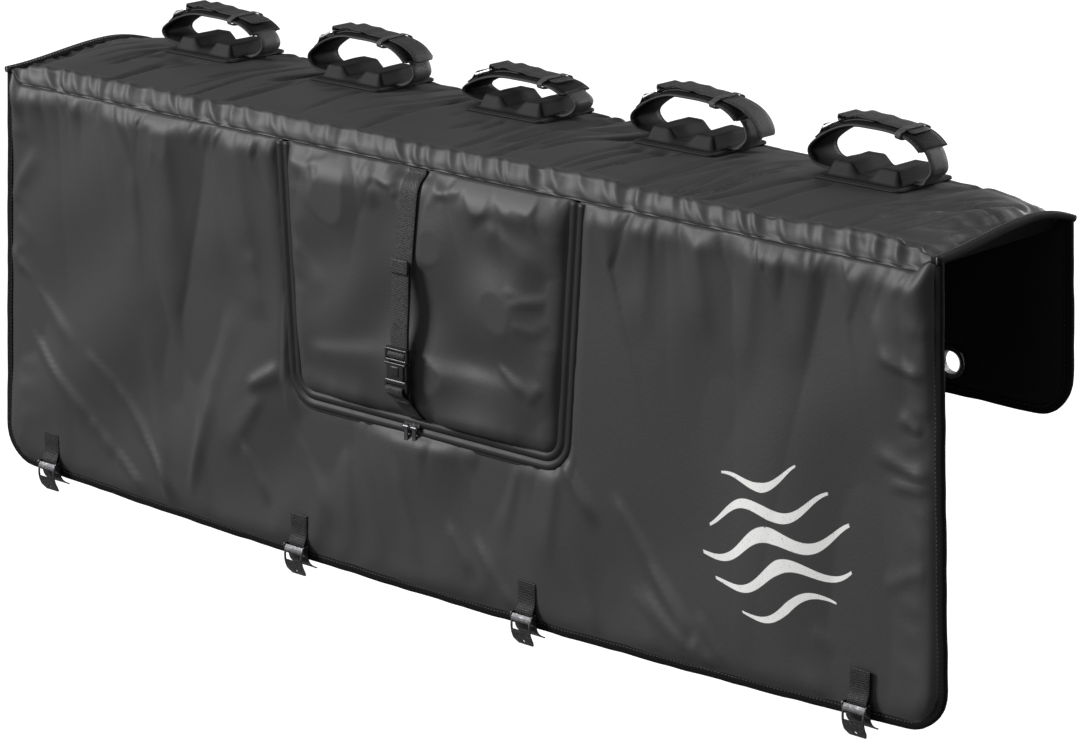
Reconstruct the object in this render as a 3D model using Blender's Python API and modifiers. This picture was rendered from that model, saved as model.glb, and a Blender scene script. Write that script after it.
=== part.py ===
"""Tailgate bike pad: a padded cover that hangs over a pickup's tailgate, with five bike cradles.

Metres, +Z up. The origin is the middle of the flat underside of the top panel, where the tailgate's
top edge carries the pad. +X runs along the tailgate, and -Y points out of the truck, at the front panel.
"""

import math

import bmesh
import bpy
from mathutils import Matrix, Vector

# Clearances
SEWN = 0.0003            # gap that stands for a sewn or laid-on contact
RUNNING = 0.0004         # gap round pins and sliders

# Pad
PAD_WIDTH = 1.350        # along the tailgate, at the fold
TOP_DEPTH = 0.2334       # outer face of the front panel to outer face of the rear flap
FOLD_HEIGHT = 0.0196     # foam of the top panel at its front and rear folds
FOLD_ROUND = 0.006
CROWN_FRONT = 0.005      # rise of the foam above the fold height, at the front fold
CROWN_MIDDLE = 0.0175    # the same on the flat seat under the cradles
CROWN_REAR = 0.008
SEAT_FRONT_Y = -0.002    # the flat seat under the cradles, front to back
SEAT_REAR_Y = 0.104
END_CROWN = 0.013        # rise of the thin bound ends
END_PEAK_Y = 0.045
END_TAPER = 0.100        # length over which the middle's rise falls to the ends' own
END_TUCK = 0.025         # length over which the foam thins to the bound end

# Front panel and rear flap
FRONT_DROP = 0.4675      # seam to hem at the corners
FRONT_FLARE = 0.024      # each side stands out this much more at the hem
FRONT_BODY = 0.012
HEM_SAG = 0.016          # the hem hangs this much lower in the middle
REAR_DROP = 0.1925
REAR_BODY = 0.010
CORNER_RADIUS = 0.045
ARC_STEPS = 6
HEM_STEPS = 14

# Bound edges
TONGUE = 0.004           # sewn-flat edge of a panel
BOUND_WIDTH = 0.009      # how far the binding tape reaches in from the edge
TAPE = 0.0012
SLOPE = 0.006            # width over which a panel swells from its edge to its body

# Window flap and zip
FLAP_HALF_TOP = 0.216    # middle of the zip, at the seam
FLAP_HALF_FOOT = 0.198   # the same, at the flap's foot
FLAP_FOOT_Z = -0.2915
FLAP_CORNER = 0.028
FLAP_BODY = 0.017
FLAP_PROUD = 0.010       # the flap's face stands this far in front of the panel's
ZIP_GAP_HALF = 0.006     # the flap's and the panel's edges stand this far from the zip's middle
ZIP_TAPE_HALF = 0.0125
ZIP_TAPE_THICK = 0.0014
COIL_HALF = 0.0021
COIL_RISE = 0.0022
SLIDER_X = -0.019        # where the two sliders meet
SLIDER_LENGTH = 0.0112
SLIDER_WIDTH = 0.0095
SLIDER_SHELL = 0.0011
SLIDER_BAR = 0.0009      # radius of the bar that holds the pull
SLIDER_POST = 0.0014
PULL_LENGTH = 0.029
PULL_WIDTH = 0.0056
PULL_THICK = 0.0014
PULL_EYE_WALL = 0.0009

# Flap strap and its side-release buckle
WEBBING = 0.0016
WEBBING_WIDTH = 0.025
SOCKET_WEBBING = 0.0013
STRAP_X = -0.011
BUCKLE_OUT = 0.0223      # middle of the buckle's thickness in front of the flap's face
BUCKLE_TOP = 0.0975      # top of the plug over the flap's foot
PLUG_LADDER = 0.0155
LADDER_TOP_BAR = 0.0014  # radius
LADDER_BAR = 0.0012      # radius
PLUG_THICK = 0.0061
SOCKET_LENGTH = 0.0325
SOCKET_SLOT = 0.0053     # middle of the socket's strap slot over its foot
BUCKLE_WIDTH = 0.033
BUCKLE_THICK = 0.0085
BUCKLE_WALL = 0.0017
PRONG_WIDTH = 0.0042
PRONG_LENGTH = 0.0190
TONGUE_WIDTH = 0.0060
SLOT_HEIGHT = 0.0042
SLOT_PLAY = 0.0006       # room at each side of the webbing in a slot
TAIL_LENGTH = 0.096

# Hem buckles: stamped cam buckles on short webbing tabs
HEM_TAB_X = (-0.612, -0.195, 0.150, 0.597)
TAB_RISE = 0.052         # sewn length of the tab above the hem
CAM_ABOVE_HEM = 0.014    # the lever's top bar over the hem
CAM_WIDTH = 0.031
CAM_PLATE = 0.0016
CAM_OUT = 0.0085         # the lever's pin in front of the panel's face
PIN_RADIUS = 0.0014
PIN_PLAY = 0.00008
LEVER_SLOT_WIDTH = 0.0235
LEVER_SLOT_HEIGHT = 0.0100
LEVER_HOLE = 0.0021      # radius, in the thumb tab and in the frame's foot
EAR_THICK = 0.0014
TAB_WEBBING = 0.0012

# Eyelets in the rear flap
EYELET_X = 0.535
EYELET_Z = -0.1594
EYELET_HOLE = 0.0120
EYELET_BARREL = 0.0013
EYELET_FLANGE = 0.0185
EYELET_LIP = 0.0014
EYELET_RECESS = 0.0022   # the washer is pressed this deep into the flap's inner side
TURN_STEPS = 24

# Cradles
CRADLE_PITCH = 0.2405
CRADLE_Y = 0.054
BASE_LENGTH = 0.112
BASE_DEPTH = 0.096
BASE_THICK = 0.0030
BASE_CORNER = 0.008
SADDLE_LENGTH = 0.090
SADDLE_DEPTH = 0.068
SADDLE_RISE = 0.0150
VALLEY_WIDTH = 0.042
VALLEY_FLOOR = 0.012
VALLEY_DEPTH = 0.0105
PAD_STRAP_WIDTH = 0.050
PAD_STRAP_THICK = 0.0060
FOOT_WIDTH = 0.030       # webbing that ends the padded strap at its right foot
FOOT_THICK = 0.0024
FOOT_LENGTH = 0.052
HOOK_WIDTH = 0.030
HOOK_THICK = 0.0018
HOOK_LEAD = 0.040        # the strap is sewn on this far before the ring's bar
HOOK_RUN = 0.042         # and its upper layer lies on this far past the top
RING_WIRE = 0.0018       # radius
RING_PITCH = 0.0240      # bar to bar
RING_SWING = 5.0         # degrees that the ring can lift off the strap
RING_TAB_WIDTH = 0.028
RING_TAB_THICK = 0.0012
RING_STATION = 0.042     # along the strap, from its top to the ring's upper bar
TAB_RUN = 0.016          # sewn length of the ring's tab
# Each strap as it lies: height and reach of its arch to the left and right, length and curl of its tail
STRAPS = (
    (0.0455, 0.080, 0.078, 0.022, 0.5),
    (0.0515, 0.078, 0.078, 0.046, 0.7),
    (0.0385, 0.079, 0.078, 0.010, 0.3),
    (0.0525, 0.076, 0.074, 0.062, 0.6),
    (0.0560, 0.078, 0.070, 0.006, 0.3),
)

# Planes and heights that follow from these sizes
PANEL_FACE_Y = -TOP_DEPTH / 2
FLAP_FACE_Y = PANEL_FACE_Y - FLAP_PROUD
FRONT_MIDDLE_Y = PANEL_FACE_Y + FRONT_BODY / 2
REAR_MIDDLE_Y = TOP_DEPTH / 2 - REAR_BODY / 2
EDGE_FACE_Y = FRONT_MIDDLE_Y - TONGUE / 2     # front of the thin edges of the panel and the flap
ZIP_Y = EDGE_FACE_Y - SEWN - ZIP_TAPE_THICK / 2
BUCKLE_Y = FLAP_FACE_Y - BUCKLE_OUT
BUCKLE_TOP_Z = FLAP_FOOT_Z + BUCKLE_TOP
SOCKET_TOP_Z = BUCKLE_TOP_Z - PLUG_LADDER - SEWN
BAND = BOUND_WIDTH + SEWN                     # flat band along a panel's edge, for the tape
CRADLE_TOP_Z = FOLD_HEIGHT + CROWN_MIDDLE + SEWN + BASE_THICK
STANDING = (math.pi / 2, 0, 0)                # a flat shape's own Z points out of the front panel
SIDEWAYS = (math.pi / 2, 0, math.pi / 2)      # a flat shape's own X, Y, Z lie along Y, Z, X


def start():
    for obj in list(bpy.data.objects):
        bpy.data.objects.remove(obj)
    parts = bpy.data.collections.new("tailgate_bike_pad")
    cutters = bpy.data.collections.new("cutters")
    bpy.context.scene.collection.children.link(parts)
    bpy.context.scene.collection.children.link(cutters)
    return parts, cutters


def finish(name, colour, roughness, metallic=0.0):
    made = bpy.data.materials.new(name)
    made.use_nodes = True
    shader = made.node_tree.nodes["Principled BSDF"]
    shader.inputs["Base Color"].default_value = (*colour, 1.0)
    shader.inputs["Roughness"].default_value = roughness
    shader.inputs["Metallic"].default_value = metallic
    return made


PARTS, CUTTERS = start()
SHELL = finish("coated_shell", (0.045, 0.045, 0.047), 0.45)
TAPE_BLACK = finish("binding_tape", (0.012, 0.012, 0.013), 0.8)
WEB = finish("webbing", (0.022, 0.022, 0.023), 0.75)
STRAP_FELT = finish("strap_cover", (0.018, 0.018, 0.019), 0.7)
RUBBER = finish("cradle_cover", (0.02, 0.02, 0.021), 0.6)
PLASTIC = finish("black_plastic", (0.015, 0.015, 0.016), 0.35)
GUNMETAL = finish("dark_steel", (0.12, 0.12, 0.125), 0.35, 1.0)
NICKEL = finish("bright_steel", (0.75, 0.75, 0.76), 0.2, 1.0)


def node(name, data, material, location=(0, 0, 0), rotation=(0, 0, 0)):
    """A part of the pad, in the pad's collection."""
    obj = bpy.data.objects.new(name, data)
    if data.materials:
        data.materials[0] = material
    else:
        data.materials.append(material)
    obj.location = location
    obj.rotation_euler = rotation
    PARTS.objects.link(obj)
    return obj


def smooth(t):
    t = min(max(t, 0.0), 1.0)
    return t * t * (3 - 2 * t)


def smooth_shading(mesh):
    mesh.shade_smooth()
    mesh.set_sharp_from_angle(angle=math.radians(35))
    return mesh


def taken(obj):
    """The object's final mesh, with its loose caps welded. The object itself is removed."""
    bpy.context.view_layer.update()
    graph = bpy.context.evaluated_depsgraph_get()
    mesh = bpy.data.meshes.new_from_object(obj.evaluated_get(graph))
    bpy.data.objects.remove(obj)
    shape = bmesh.new()
    shape.from_mesh(mesh)
    bmesh.ops.remove_doubles(shape, verts=shape.verts, dist=1e-6)
    shape.to_mesh(mesh)
    shape.free()
    return mesh


def flat_mesh(outlines, thickness):
    """A flat plate from closed outlines in its own XY plane, the first one outside and the rest holes."""
    curve = bpy.data.curves.new("outline", "CURVE")
    curve.dimensions = "2D"
    curve.fill_mode = "BOTH"
    curve.extrude = thickness / 2
    for outline in outlines:
        spline = curve.splines.new("POLY")
        spline.points.add(len(outline) - 1)
        spline.use_cyclic_u = True
        for point, (x, y) in zip(spline.points, outline):
            point.co = (x, y, 0, 1)
    obj = bpy.data.objects.new("outline", curve)
    PARTS.objects.link(obj)
    mesh = taken(obj)
    bpy.data.curves.remove(curve)
    return mesh


def swept_mesh(path, profile, closed=False):
    """A section carried along a flat path: the section's X lies in the path's plane, and its Y across it."""
    section = bpy.data.curves.new("section", "CURVE")
    section.dimensions = "2D"
    spline = section.splines.new("POLY")
    spline.points.add(len(profile) - 1)
    spline.use_cyclic_u = True
    for point, (x, y) in zip(spline.points, profile):
        point.co = (x, y, 0, 1)
    holder = bpy.data.objects.new("section", section)
    CUTTERS.objects.link(holder)
    curve = bpy.data.curves.new("path", "CURVE")
    curve.dimensions = "2D"
    curve.bevel_mode = "OBJECT"
    curve.bevel_object = holder
    curve.use_fill_caps = not closed
    line = curve.splines.new("POLY")
    line.points.add(len(path) - 1)
    line.use_cyclic_u = closed
    for point, (x, y) in zip(line.points, path):
        point.co = (x, y, 0, 1)
    obj = bpy.data.objects.new("path", curve)
    PARTS.objects.link(obj)
    mesh = taken(obj)
    bpy.data.objects.remove(holder)
    bpy.data.curves.remove(curve)
    bpy.data.curves.remove(section)
    shape = bmesh.new()
    shape.from_mesh(mesh)
    bmesh.ops.recalc_face_normals(shape, faces=shape.faces)
    shape.to_mesh(mesh)
    shape.free()
    return mesh


def box_mesh(size, centre=(0, 0, 0)):
    mesh = bpy.data.meshes.new("box")
    shape = bmesh.new()
    bmesh.ops.create_cube(shape, size=1.0)
    bmesh.ops.scale(shape, vec=size, verts=shape.verts)
    bmesh.ops.translate(shape, vec=centre, verts=shape.verts)
    shape.to_mesh(mesh)
    shape.free()
    return mesh


def rod_mesh(radius, length, centre=(0, 0, 0), along="X", sides=20):
    mesh = bpy.data.meshes.new("rod")
    shape = bmesh.new()
    bmesh.ops.create_cone(
        shape, cap_ends=True, segments=sides, radius1=radius, radius2=radius, depth=length
    )
    turn = {"X": Matrix.Rotation(math.pi / 2, 4, "Y"), "Y": Matrix.Rotation(math.pi / 2, 4, "X")}
    bmesh.ops.transform(shape, matrix=turn.get(along, Matrix()), verts=shape.verts)
    bmesh.ops.translate(shape, vec=centre, verts=shape.verts)
    shape.to_mesh(mesh)
    shape.free()
    return mesh


def combined(mesh, others, operation):
    """The mesh cut by, or joined with, each of the others."""
    body = bpy.data.objects.new("body", mesh)
    PARTS.objects.link(body)
    helpers = []
    for other in others:
        helper = bpy.data.objects.new("helper", other)
        helper.hide_render = True
        helper.display_type = "WIRE"
        CUTTERS.objects.link(helper)
        step = body.modifiers.new("combine", "BOOLEAN")
        step.operation = operation
        step.object = helper
        helpers.append(helper)
    result = taken(body)
    for helper in helpers:
        bpy.data.objects.remove(helper)
    return result


def turned(mesh, rotation, shift=(0, 0, 0)):
    """The mesh turned and moved in its own coordinates."""
    angles = Matrix.Rotation(rotation[2], 4, "Z") @ Matrix.Rotation(rotation[1], 4, "Y")
    mesh.transform(Matrix.Translation(shift) @ angles @ Matrix.Rotation(rotation[0], 4, "X"))
    return mesh


def rounded(corners, steps=3):
    """A closed outline from corners (x, y, radius), each turned into an arc of so many steps."""
    outline = []
    count = len(corners)
    for index, (x, y, radius) in enumerate(corners):
        here = Vector((x, y))
        before = (Vector(corners[index - 1][:2]) - here).normalized()
        after = (Vector(corners[(index + 1) % count][:2]) - here).normalized()
        if radius <= 0:
            outline.append((x, y))
            continue
        half = math.acos(max(-1.0, min(1.0, before.dot(after)))) / 2
        centre = here + (before + after).normalized() * (radius / math.sin(half))
        first = here + before * (radius / math.tan(half)) - centre
        last = here + after * (radius / math.tan(half)) - centre
        turn = first.angle_signed(last)
        for step in range(steps + 1):
            arm = first.copy()
            arm.rotate(Matrix.Rotation(-turn * step / steps, 2))
            outline.append((centre.x + arm.x, centre.y + arm.y))
    return outline


def strip(line, thickness):
    """The closed outline of a strip of even thickness along a centre line."""
    left, right = [], []
    for index, (x, y) in enumerate(line):
        back = line[max(index - 1, 0)]
        ahead = line[min(index + 1, len(line) - 1)]
        run = Vector((ahead[0] - back[0], ahead[1] - back[1])).normalized()
        side = Vector((-run.y, run.x)) * thickness / 2
        left.append((x + side.x, y + side.y))
        right.append((x - side.x, y - side.y))
    return left + right[::-1]


def eased(points, per_span=5):
    """A smooth line through the given points."""
    line = []
    for index in range(len(points) - 1):
        before = Vector(points[max(index - 1, 0)])
        start_point = Vector(points[index])
        end_point = Vector(points[index + 1])
        after = Vector(points[min(index + 2, len(points) - 1)])
        for step in range(per_span):
            t = step / per_span
            spot = 0.5 * (
                2 * start_point
                + (end_point - before) * t
                + (2 * before - 5 * start_point + 4 * end_point - after) * t**2
                + (3 * start_point - before - 3 * end_point + after) * t**3
            )
            line.append((spot.x, spot.y))
    line.append(tuple(points[-1]))
    return line


# Panels

def quilted_mesh(outline, body, proud=0.0):
    """A padded panel: a thin sewn edge all round, swelling on both faces to the body's thickness."""
    mesh = flat_mesh([outline], TONGUE)
    shape = bmesh.new()
    shape.from_mesh(mesh)
    bmesh.ops.dissolve_limit(
        shape, angle_limit=0.01, verts=shape.verts, edges=shape.edges, delimit={"NORMAL"}
    )
    swell = (body - TONGUE) / 2
    for face in [f for f in shape.faces if abs(f.normal.z) > 0.9]:
        rise = swell + (proud if face.normal.z > 0 else -proud)
        bmesh.ops.inset_region(shape, faces=[face], thickness=BAND, use_even_offset=True)
        bmesh.ops.inset_region(
            shape, faces=[face], thickness=SLOPE / 2, depth=rise * 0.7, use_even_offset=True
        )
        bmesh.ops.inset_region(
            shape, faces=[face], thickness=SLOPE, depth=rise * 0.3, use_even_offset=True
        )
    shape.to_mesh(mesh)
    shape.free()
    return smooth_shading(mesh)


def hem_z(x):
    """Height of the front panel's hem, which sags between its corners."""
    half = PAD_WIDTH / 2 + FRONT_FLARE
    return -FRONT_DROP - HEM_SAG * (1 - (x / half) ** 2)


def zip_line(offset):
    """The zip's path round the flap, moved out by offset: down, across the foot and up."""
    lean = (FLAP_HALF_TOP - FLAP_HALF_FOOT) / -FLAP_FOOT_Z
    half_top = FLAP_HALF_TOP + offset
    foot = FLAP_FOOT_Z - offset
    half_foot = half_top + lean * foot
    radius = FLAP_CORNER + offset
    corners = [(-half_top, 0, 0), (-half_foot, foot, radius), (half_foot, foot, radius), (half_top, 0, 0)]
    return rounded(corners, ARC_STEPS)


def front_outline():
    """The front panel's sides and hem, from the left end of the seam to the right end."""
    top = PAD_WIDTH / 2
    hem = top + FRONT_FLARE
    corners = [
        (-top, -SEWN, 0),
        (-hem, -FRONT_DROP, CORNER_RADIUS),
        (hem, -FRONT_DROP, CORNER_RADIUS),
        (top, -SEWN, 0),
    ]
    line = rounded(corners, ARC_STEPS)
    left = line[: ARC_STEPS + 2]
    right = line[ARC_STEPS + 2 :]
    span = right[0][0] - left[-1][0]
    run = [(left[-1][0] + span * step / HEM_STEPS, -FRONT_DROP) for step in range(1, HEM_STEPS)]
    sagged = []
    for x, z in left + run + right:
        share = smooth(-2 * z / FRONT_DROP - 1)
        sagged.append((x, z + share * (hem_z(x) + FRONT_DROP)))
    return sagged


def below_seam(line):
    return [(x, min(z, -SEWN)) for x, z in line]


def front_panel():
    notch = below_seam(zip_line(ZIP_GAP_HALF))
    mesh = quilted_mesh(front_outline() + notch[::-1], FRONT_BODY)
    node("front_panel", mesh, SHELL, (0, FRONT_MIDDLE_Y, 0), STANDING)


def window_flap():
    outline = below_seam(zip_line(-ZIP_GAP_HALF))
    forward = FLAP_PROUD - (FLAP_BODY - FRONT_BODY) / 2
    mesh = quilted_mesh(outline, FLAP_BODY, forward)
    node("window_flap", mesh, SHELL, (0, FRONT_MIDDLE_Y, 0), STANDING)


def rear_outline():
    half = PAD_WIDTH / 2
    flare = FRONT_FLARE * REAR_DROP / FRONT_DROP
    corners = [
        (-half, -SEWN, 0),
        (-half - flare, -REAR_DROP, CORNER_RADIUS),
        (half + flare, -REAR_DROP, CORNER_RADIUS),
        (half, -SEWN, 0),
    ]
    return rounded(corners, ARC_STEPS)


def rear_flap():
    mesh = quilted_mesh(rear_outline(), REAR_BODY)
    radius = EYELET_HOLE + EYELET_BARREL + SEWN
    recess = EYELET_FLANGE + SEWN
    holes = []
    for side in (-1, 1):
        x = side * EYELET_X
        holes.append(rod_mesh(radius, 3 * REAR_BODY, (x, EYELET_Z, 0), "Z", TURN_STEPS))
        inner = (x, EYELET_Z, REAR_BODY / 2)
        holes.append(rod_mesh(recess, 2 * EYELET_RECESS, inner, "Z", TURN_STEPS))
    mesh = smooth_shading(combined(mesh, holes, "DIFFERENCE"))
    node("rear_flap", mesh, SHELL, (0, REAR_MIDDLE_Y, 0), STANDING)


def middle_rise(y):
    """Rise of the top panel over the fold height, away from its ends."""
    half = TOP_DEPTH / 2
    if y < SEAT_FRONT_Y:
        return CROWN_FRONT + (CROWN_MIDDLE - CROWN_FRONT) * smooth((y + half) / (SEAT_FRONT_Y + half))
    if y <= SEAT_REAR_Y:
        return CROWN_MIDDLE
    fall = ((y - SEAT_REAR_Y) / (half - SEAT_REAR_Y)) ** 2
    return CROWN_MIDDLE + (CROWN_REAR - CROWN_MIDDLE) * fall


def end_rise(y):
    """Rise of the bound ends over the fold height."""
    half = TOP_DEPTH / 2
    if y < END_PEAK_Y:
        return END_CROWN * smooth((y + half) / (END_PEAK_Y + half))
    return END_CROWN * (1 - ((y - END_PEAK_Y) / (half - END_PEAK_Y)) ** 2)


def bound_middle(y):
    """Height of the middle of the top panel's thin end edge."""
    return FOLD_HEIGHT + end_rise(y) - TONGUE


def end_stations():
    """Depths at which the top panel and its end bindings both turn."""
    half = TOP_DEPTH / 2
    rows = 6
    cuts = [-half + (SEAT_FRONT_Y + half) * k / rows for k in range(rows)]
    marks = sorted([SEAT_FRONT_Y, END_PEAK_Y, SEAT_REAR_Y])
    for near, far in zip(marks, marks[1:]):
        cuts += [near, (near + far) / 2]
    return cuts + [marks[-1], (marks[-1] + half) / 2, half]


END_STATIONS = end_stations()


def top_height(x, y):
    """Heights of the top panel's upper and lower faces."""
    half = PAD_WIDTH / 2
    bound = half - BAND
    tuck = half - END_TUCK
    inner = smooth((half - x) / END_TAPER)
    high = FOLD_HEIGHT + inner * middle_rise(y) + (1 - inner) * end_rise(y)
    middle = bound_middle(y)
    flat = smooth((x - bound + TONGUE) / TONGUE)
    thin = smooth((x - tuck) / (bound - tuck))
    return high + (middle + TONGUE / 2 - high) * flat, thin * (middle - TONGUE / 2)


def top_panel():
    half = PAD_WIDTH / 2
    bound = half - BAND
    tuck = half - END_TUCK
    taper = half - END_TAPER
    cuts_x = [0.6 * taper, taper, (taper + tuck) / 2, tuck, bound - TONGUE, bound]
    mesh = box_mesh((PAD_WIDTH, TOP_DEPTH, 1.0))
    shape = bmesh.new()
    shape.from_mesh(mesh)
    planes = [((side * x, 0, 0), (1, 0, 0)) for x in cuts_x for side in (-1, 1)]
    planes += [((0, y, 0), (0, 1, 0)) for y in END_STATIONS[1:-1]]
    for place, normal in planes:
        everything = shape.verts[:] + shape.edges[:] + shape.faces[:]
        bmesh.ops.bisect_plane(shape, geom=everything, plane_co=place, plane_no=normal, dist=1e-6)
    for vert in shape.verts:
        upper, lower = top_height(abs(vert.co.x), vert.co.y)
        vert.co.z = upper if vert.co.z > 0 else lower
    shape.to_mesh(mesh)
    shape.free()
    obj = node("top_panel", smooth_shading(mesh), SHELL)
    edge = obj.modifiers.new("round_folds", "BEVEL")
    edge.width = FOLD_ROUND
    edge.segments = 2
    edge.limit_method = "ANGLE"
    edge.angle_limit = math.radians(60)


# Bindings: folded tape round every free edge

def channel():
    """The binding's section: a U of folded tape, its mouth towards -X, with the panel's edge inside."""
    outer_x = SEWN + TAPE
    half = TONGUE / 2 + SEWN + TAPE
    inner = TONGUE / 2 + SEWN
    mouth = -BOUND_WIDTH
    return [
        (mouth, -half),
        (outer_x - TAPE / 2, -half),
        (outer_x, -half + TAPE / 2),
        (outer_x, half - TAPE / 2),
        (outer_x - TAPE / 2, half),
        (mouth, half),
        (mouth, inner),
        (SEWN, inner),
        (SEWN, -inner),
        (mouth, -inner),
    ]


def bound_line(line):
    """The outline with both its ends cut back to where the tape is tucked under the fold."""
    line = list(line)
    tucked = 2 * SEWN - BOUND_WIDTH
    for end, inner in ((0, 1), (-1, -2)):
        (x0, z0), (x1, z1) = line[end], line[inner]
        line[end] = (x0 + (x1 - x0) * (tucked - z0) / (z1 - z0), tucked)
    return line


def bindings():
    mesh = swept_mesh(bound_line(front_outline()), channel())
    node("front_binding", smooth_shading(mesh), TAPE_BLACK, (0, FRONT_MIDDLE_Y, 0), STANDING)
    mesh = swept_mesh(bound_line(rear_outline()), channel())
    node("rear_binding", smooth_shading(mesh), TAPE_BLACK, (0, REAR_MIDDLE_Y, 0), STANDING)
    line = [(y, bound_middle(y)) for y in END_STATIONS]
    # The end edge stands in the YZ plane and its channel opens along X, so the section is turned.
    for side, name in ((-1, "left"), (1, "right")):
        mesh = swept_mesh(line, [(y, side * x) for x, y in channel()])
        place = (side * PAD_WIDTH / 2, 0, 0)
        node("top_binding_" + name, smooth_shading(mesh), TAPE_BLACK, place, SIDEWAYS)


# Zip round the window flap

def zip_parts():
    half = ZIP_TAPE_THICK / 2
    section = [
        (-ZIP_TAPE_HALF, -half),
        (ZIP_TAPE_HALF, -half),
        (ZIP_TAPE_HALF, half),
        (COIL_HALF, half),
        (COIL_HALF * 0.7, half + COIL_RISE),
        (-COIL_HALF * 0.7, half + COIL_RISE),
        (-COIL_HALF, half),
        (-ZIP_TAPE_HALF, half),
    ]
    lean = ZIP_TAPE_HALF * (FLAP_HALF_TOP - FLAP_HALF_FOOT) / -FLAP_FOOT_Z
    path = [(x, min(z, -lean - 2 * SEWN)) for x, z in zip_line(0.0)]
    node("zip", smooth_shading(swept_mesh(path, section)), TAPE_BLACK, (0, ZIP_Y, 0), STANDING)
    for side, name in ((-1, "left"), (1, "right")):
        x = SLIDER_X + side * (SLIDER_LENGTH / 2 + RUNNING)
        zip_slider(name, x)


def zip_slider(name, x):
    """A shell that straddles the coil, and two posts with a bar for the pull's eye."""
    low = ZIP_TAPE_THICK / 2 + RUNNING
    over = ZIP_TAPE_THICK / 2 + COIL_RISE + RUNNING
    top = over + SLIDER_SHELL
    shell = box_mesh((SLIDER_LENGTH, SLIDER_WIDTH, top - low), (0, 0, (top + low) / 2))
    groove = box_mesh((2 * SLIDER_LENGTH, 2 * (COIL_HALF + RUNNING), 2 * (over - low)), (0, 0, low))
    shell = combined(shell, [groove], "DIFFERENCE")
    eye = SLIDER_BAR + RUNNING + PULL_EYE_WALL
    bar_height = eye + RUNNING
    rise = bar_height + SLIDER_BAR + SLIDER_SHELL / 2
    sunk = SLIDER_SHELL / 2
    middle = (SLIDER_LENGTH - SLIDER_POST) / 2 - SEWN
    pieces = [rod_mesh(SLIDER_BAR, 2 * middle, (0, 0, top + bar_height), "X", 12)]
    for side in (-1, 1):
        size = (SLIDER_POST, SLIDER_WIDTH * 0.36, rise + sunk)
        pieces.append(box_mesh(size, (side * middle, 0, top + (rise - sunk) / 2)))
    mesh = combined(shell, pieces, "UNION")
    node("zip_slider_" + name, smooth_shading(mesh), GUNMETAL, (x, ZIP_Y, FLAP_FOOT_Z), STANDING)
    length = 2 * middle - SLIDER_POST - 2 * RUNNING
    place = (x, ZIP_Y - top - bar_height, FLAP_FOOT_Z)
    node("zip_pull_" + name, zip_pull_mesh(eye, length), GUNMETAL, place)


def zip_pull_mesh(eye, length):
    """A long flat tab that hangs from the slider's bar by its rolled eye."""
    width = PULL_WIDTH / 2
    corners = [
        (-width * 0.85, -eye * 0.6, 0.0004),
        (-width, -PULL_LENGTH, 0.0018),
        (width, -PULL_LENGTH, 0.0018),
        (width * 0.85, -eye * 0.6, 0.0004),
    ]
    tab = turned(flat_mesh([rounded(corners)], PULL_THICK), STANDING)
    mesh = combined(rod_mesh(eye, length, sides=16), [tab], "UNION")
    bore = rod_mesh(SLIDER_BAR + RUNNING, 2 * length, sides=16)
    return smooth_shading(combined(mesh, [bore], "DIFFERENCE"))


# Flap strap and side-release buckle

def over_swell(edge, inward, lie):
    """A strap's line from the flap's thin edge on to its face, lie in front of the edge."""
    rise = EDGE_FACE_Y - FLAP_FACE_Y
    return [
        (EDGE_FACE_Y - lie, edge + inward * 0.10 * BAND),
        (EDGE_FACE_Y - lie, edge + inward * (BAND - 1.5 * lie - 0.3 * SLOPE)),
        (EDGE_FACE_Y - 0.30 * rise, edge + inward * (BAND - lie)),
        (EDGE_FACE_Y - 0.71 * rise, edge + inward * (BAND + SLOPE / 2 - 1.6 * lie)),
        (FLAP_FACE_Y - 0.3 * lie, edge + inward * (BAND + 0.8 * SLOPE)),
        (FLAP_FACE_Y - 1.5 * lie, edge + inward * (BAND + 1.7 * SLOPE)),
    ]


def flap_strap():
    """Webbing from the top seam, down behind the plug's ladder, round its bar and up over itself."""
    y, z = BUCKLE_Y, BUCKLE_TOP_Z
    bar_z = z - PLUG_LADDER / 2
    turn = LADDER_BAR + SEWN + WEBBING / 2
    tail_out = LADDER_TOP_BAR + 2 * SEWN + WEBBING / 2
    main_out = tail_out + WEBBING + 2 * SEWN
    lie = SEWN + WEBBING / 2
    down = eased(
        over_swell(-SEWN, -1, lie)
        + [
            (FLAP_FACE_Y - 0.09 * BUCKLE_OUT - lie, 0.17 * z),
            (FLAP_FACE_Y - 0.38 * BUCKLE_OUT, 0.36 * z),
            (FLAP_FACE_Y - 0.63 * BUCKLE_OUT, 0.64 * z),
            (y + main_out, z + 0.012),
            (y + main_out, z - 0.0005),
            (y + 0.9 * main_out, bar_z + 1.2 * turn),
            (y + 1.3 * turn, bar_z - 0.63 * turn),
        ],
        4,
    )
    loop = eased(
        [
            (y + 1.3 * turn, bar_z - 0.63 * turn),
            (y + 0.17 * turn, bar_z - 1.50 * turn),
            (y - 0.78 * turn, bar_z - 1.07 * turn),
            (y - 1.04 * turn, bar_z),
            (y - 0.70 * turn, bar_z + 1.02 * turn),
            (y + 0.26 * turn, bar_z + 1.46 * turn),
            (y + tail_out - 0.0003, z - 0.0026),
            (y + tail_out, z + 0.0004),
            (y + tail_out, z + 0.0050),
        ],
        3,
    )
    layer = WEBBING + SEWN
    tail = [(out - layer, height) for out, height in reversed(down) if 0.010 < height - z < TAIL_LENGTH]
    mesh = flat_mesh([strip(down + loop[1:] + tail, WEBBING)], WEBBING_WIDTH)
    node("flap_strap", smooth_shading(mesh), WEB, (STRAP_X, 0, 0), SIDEWAYS)


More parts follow.
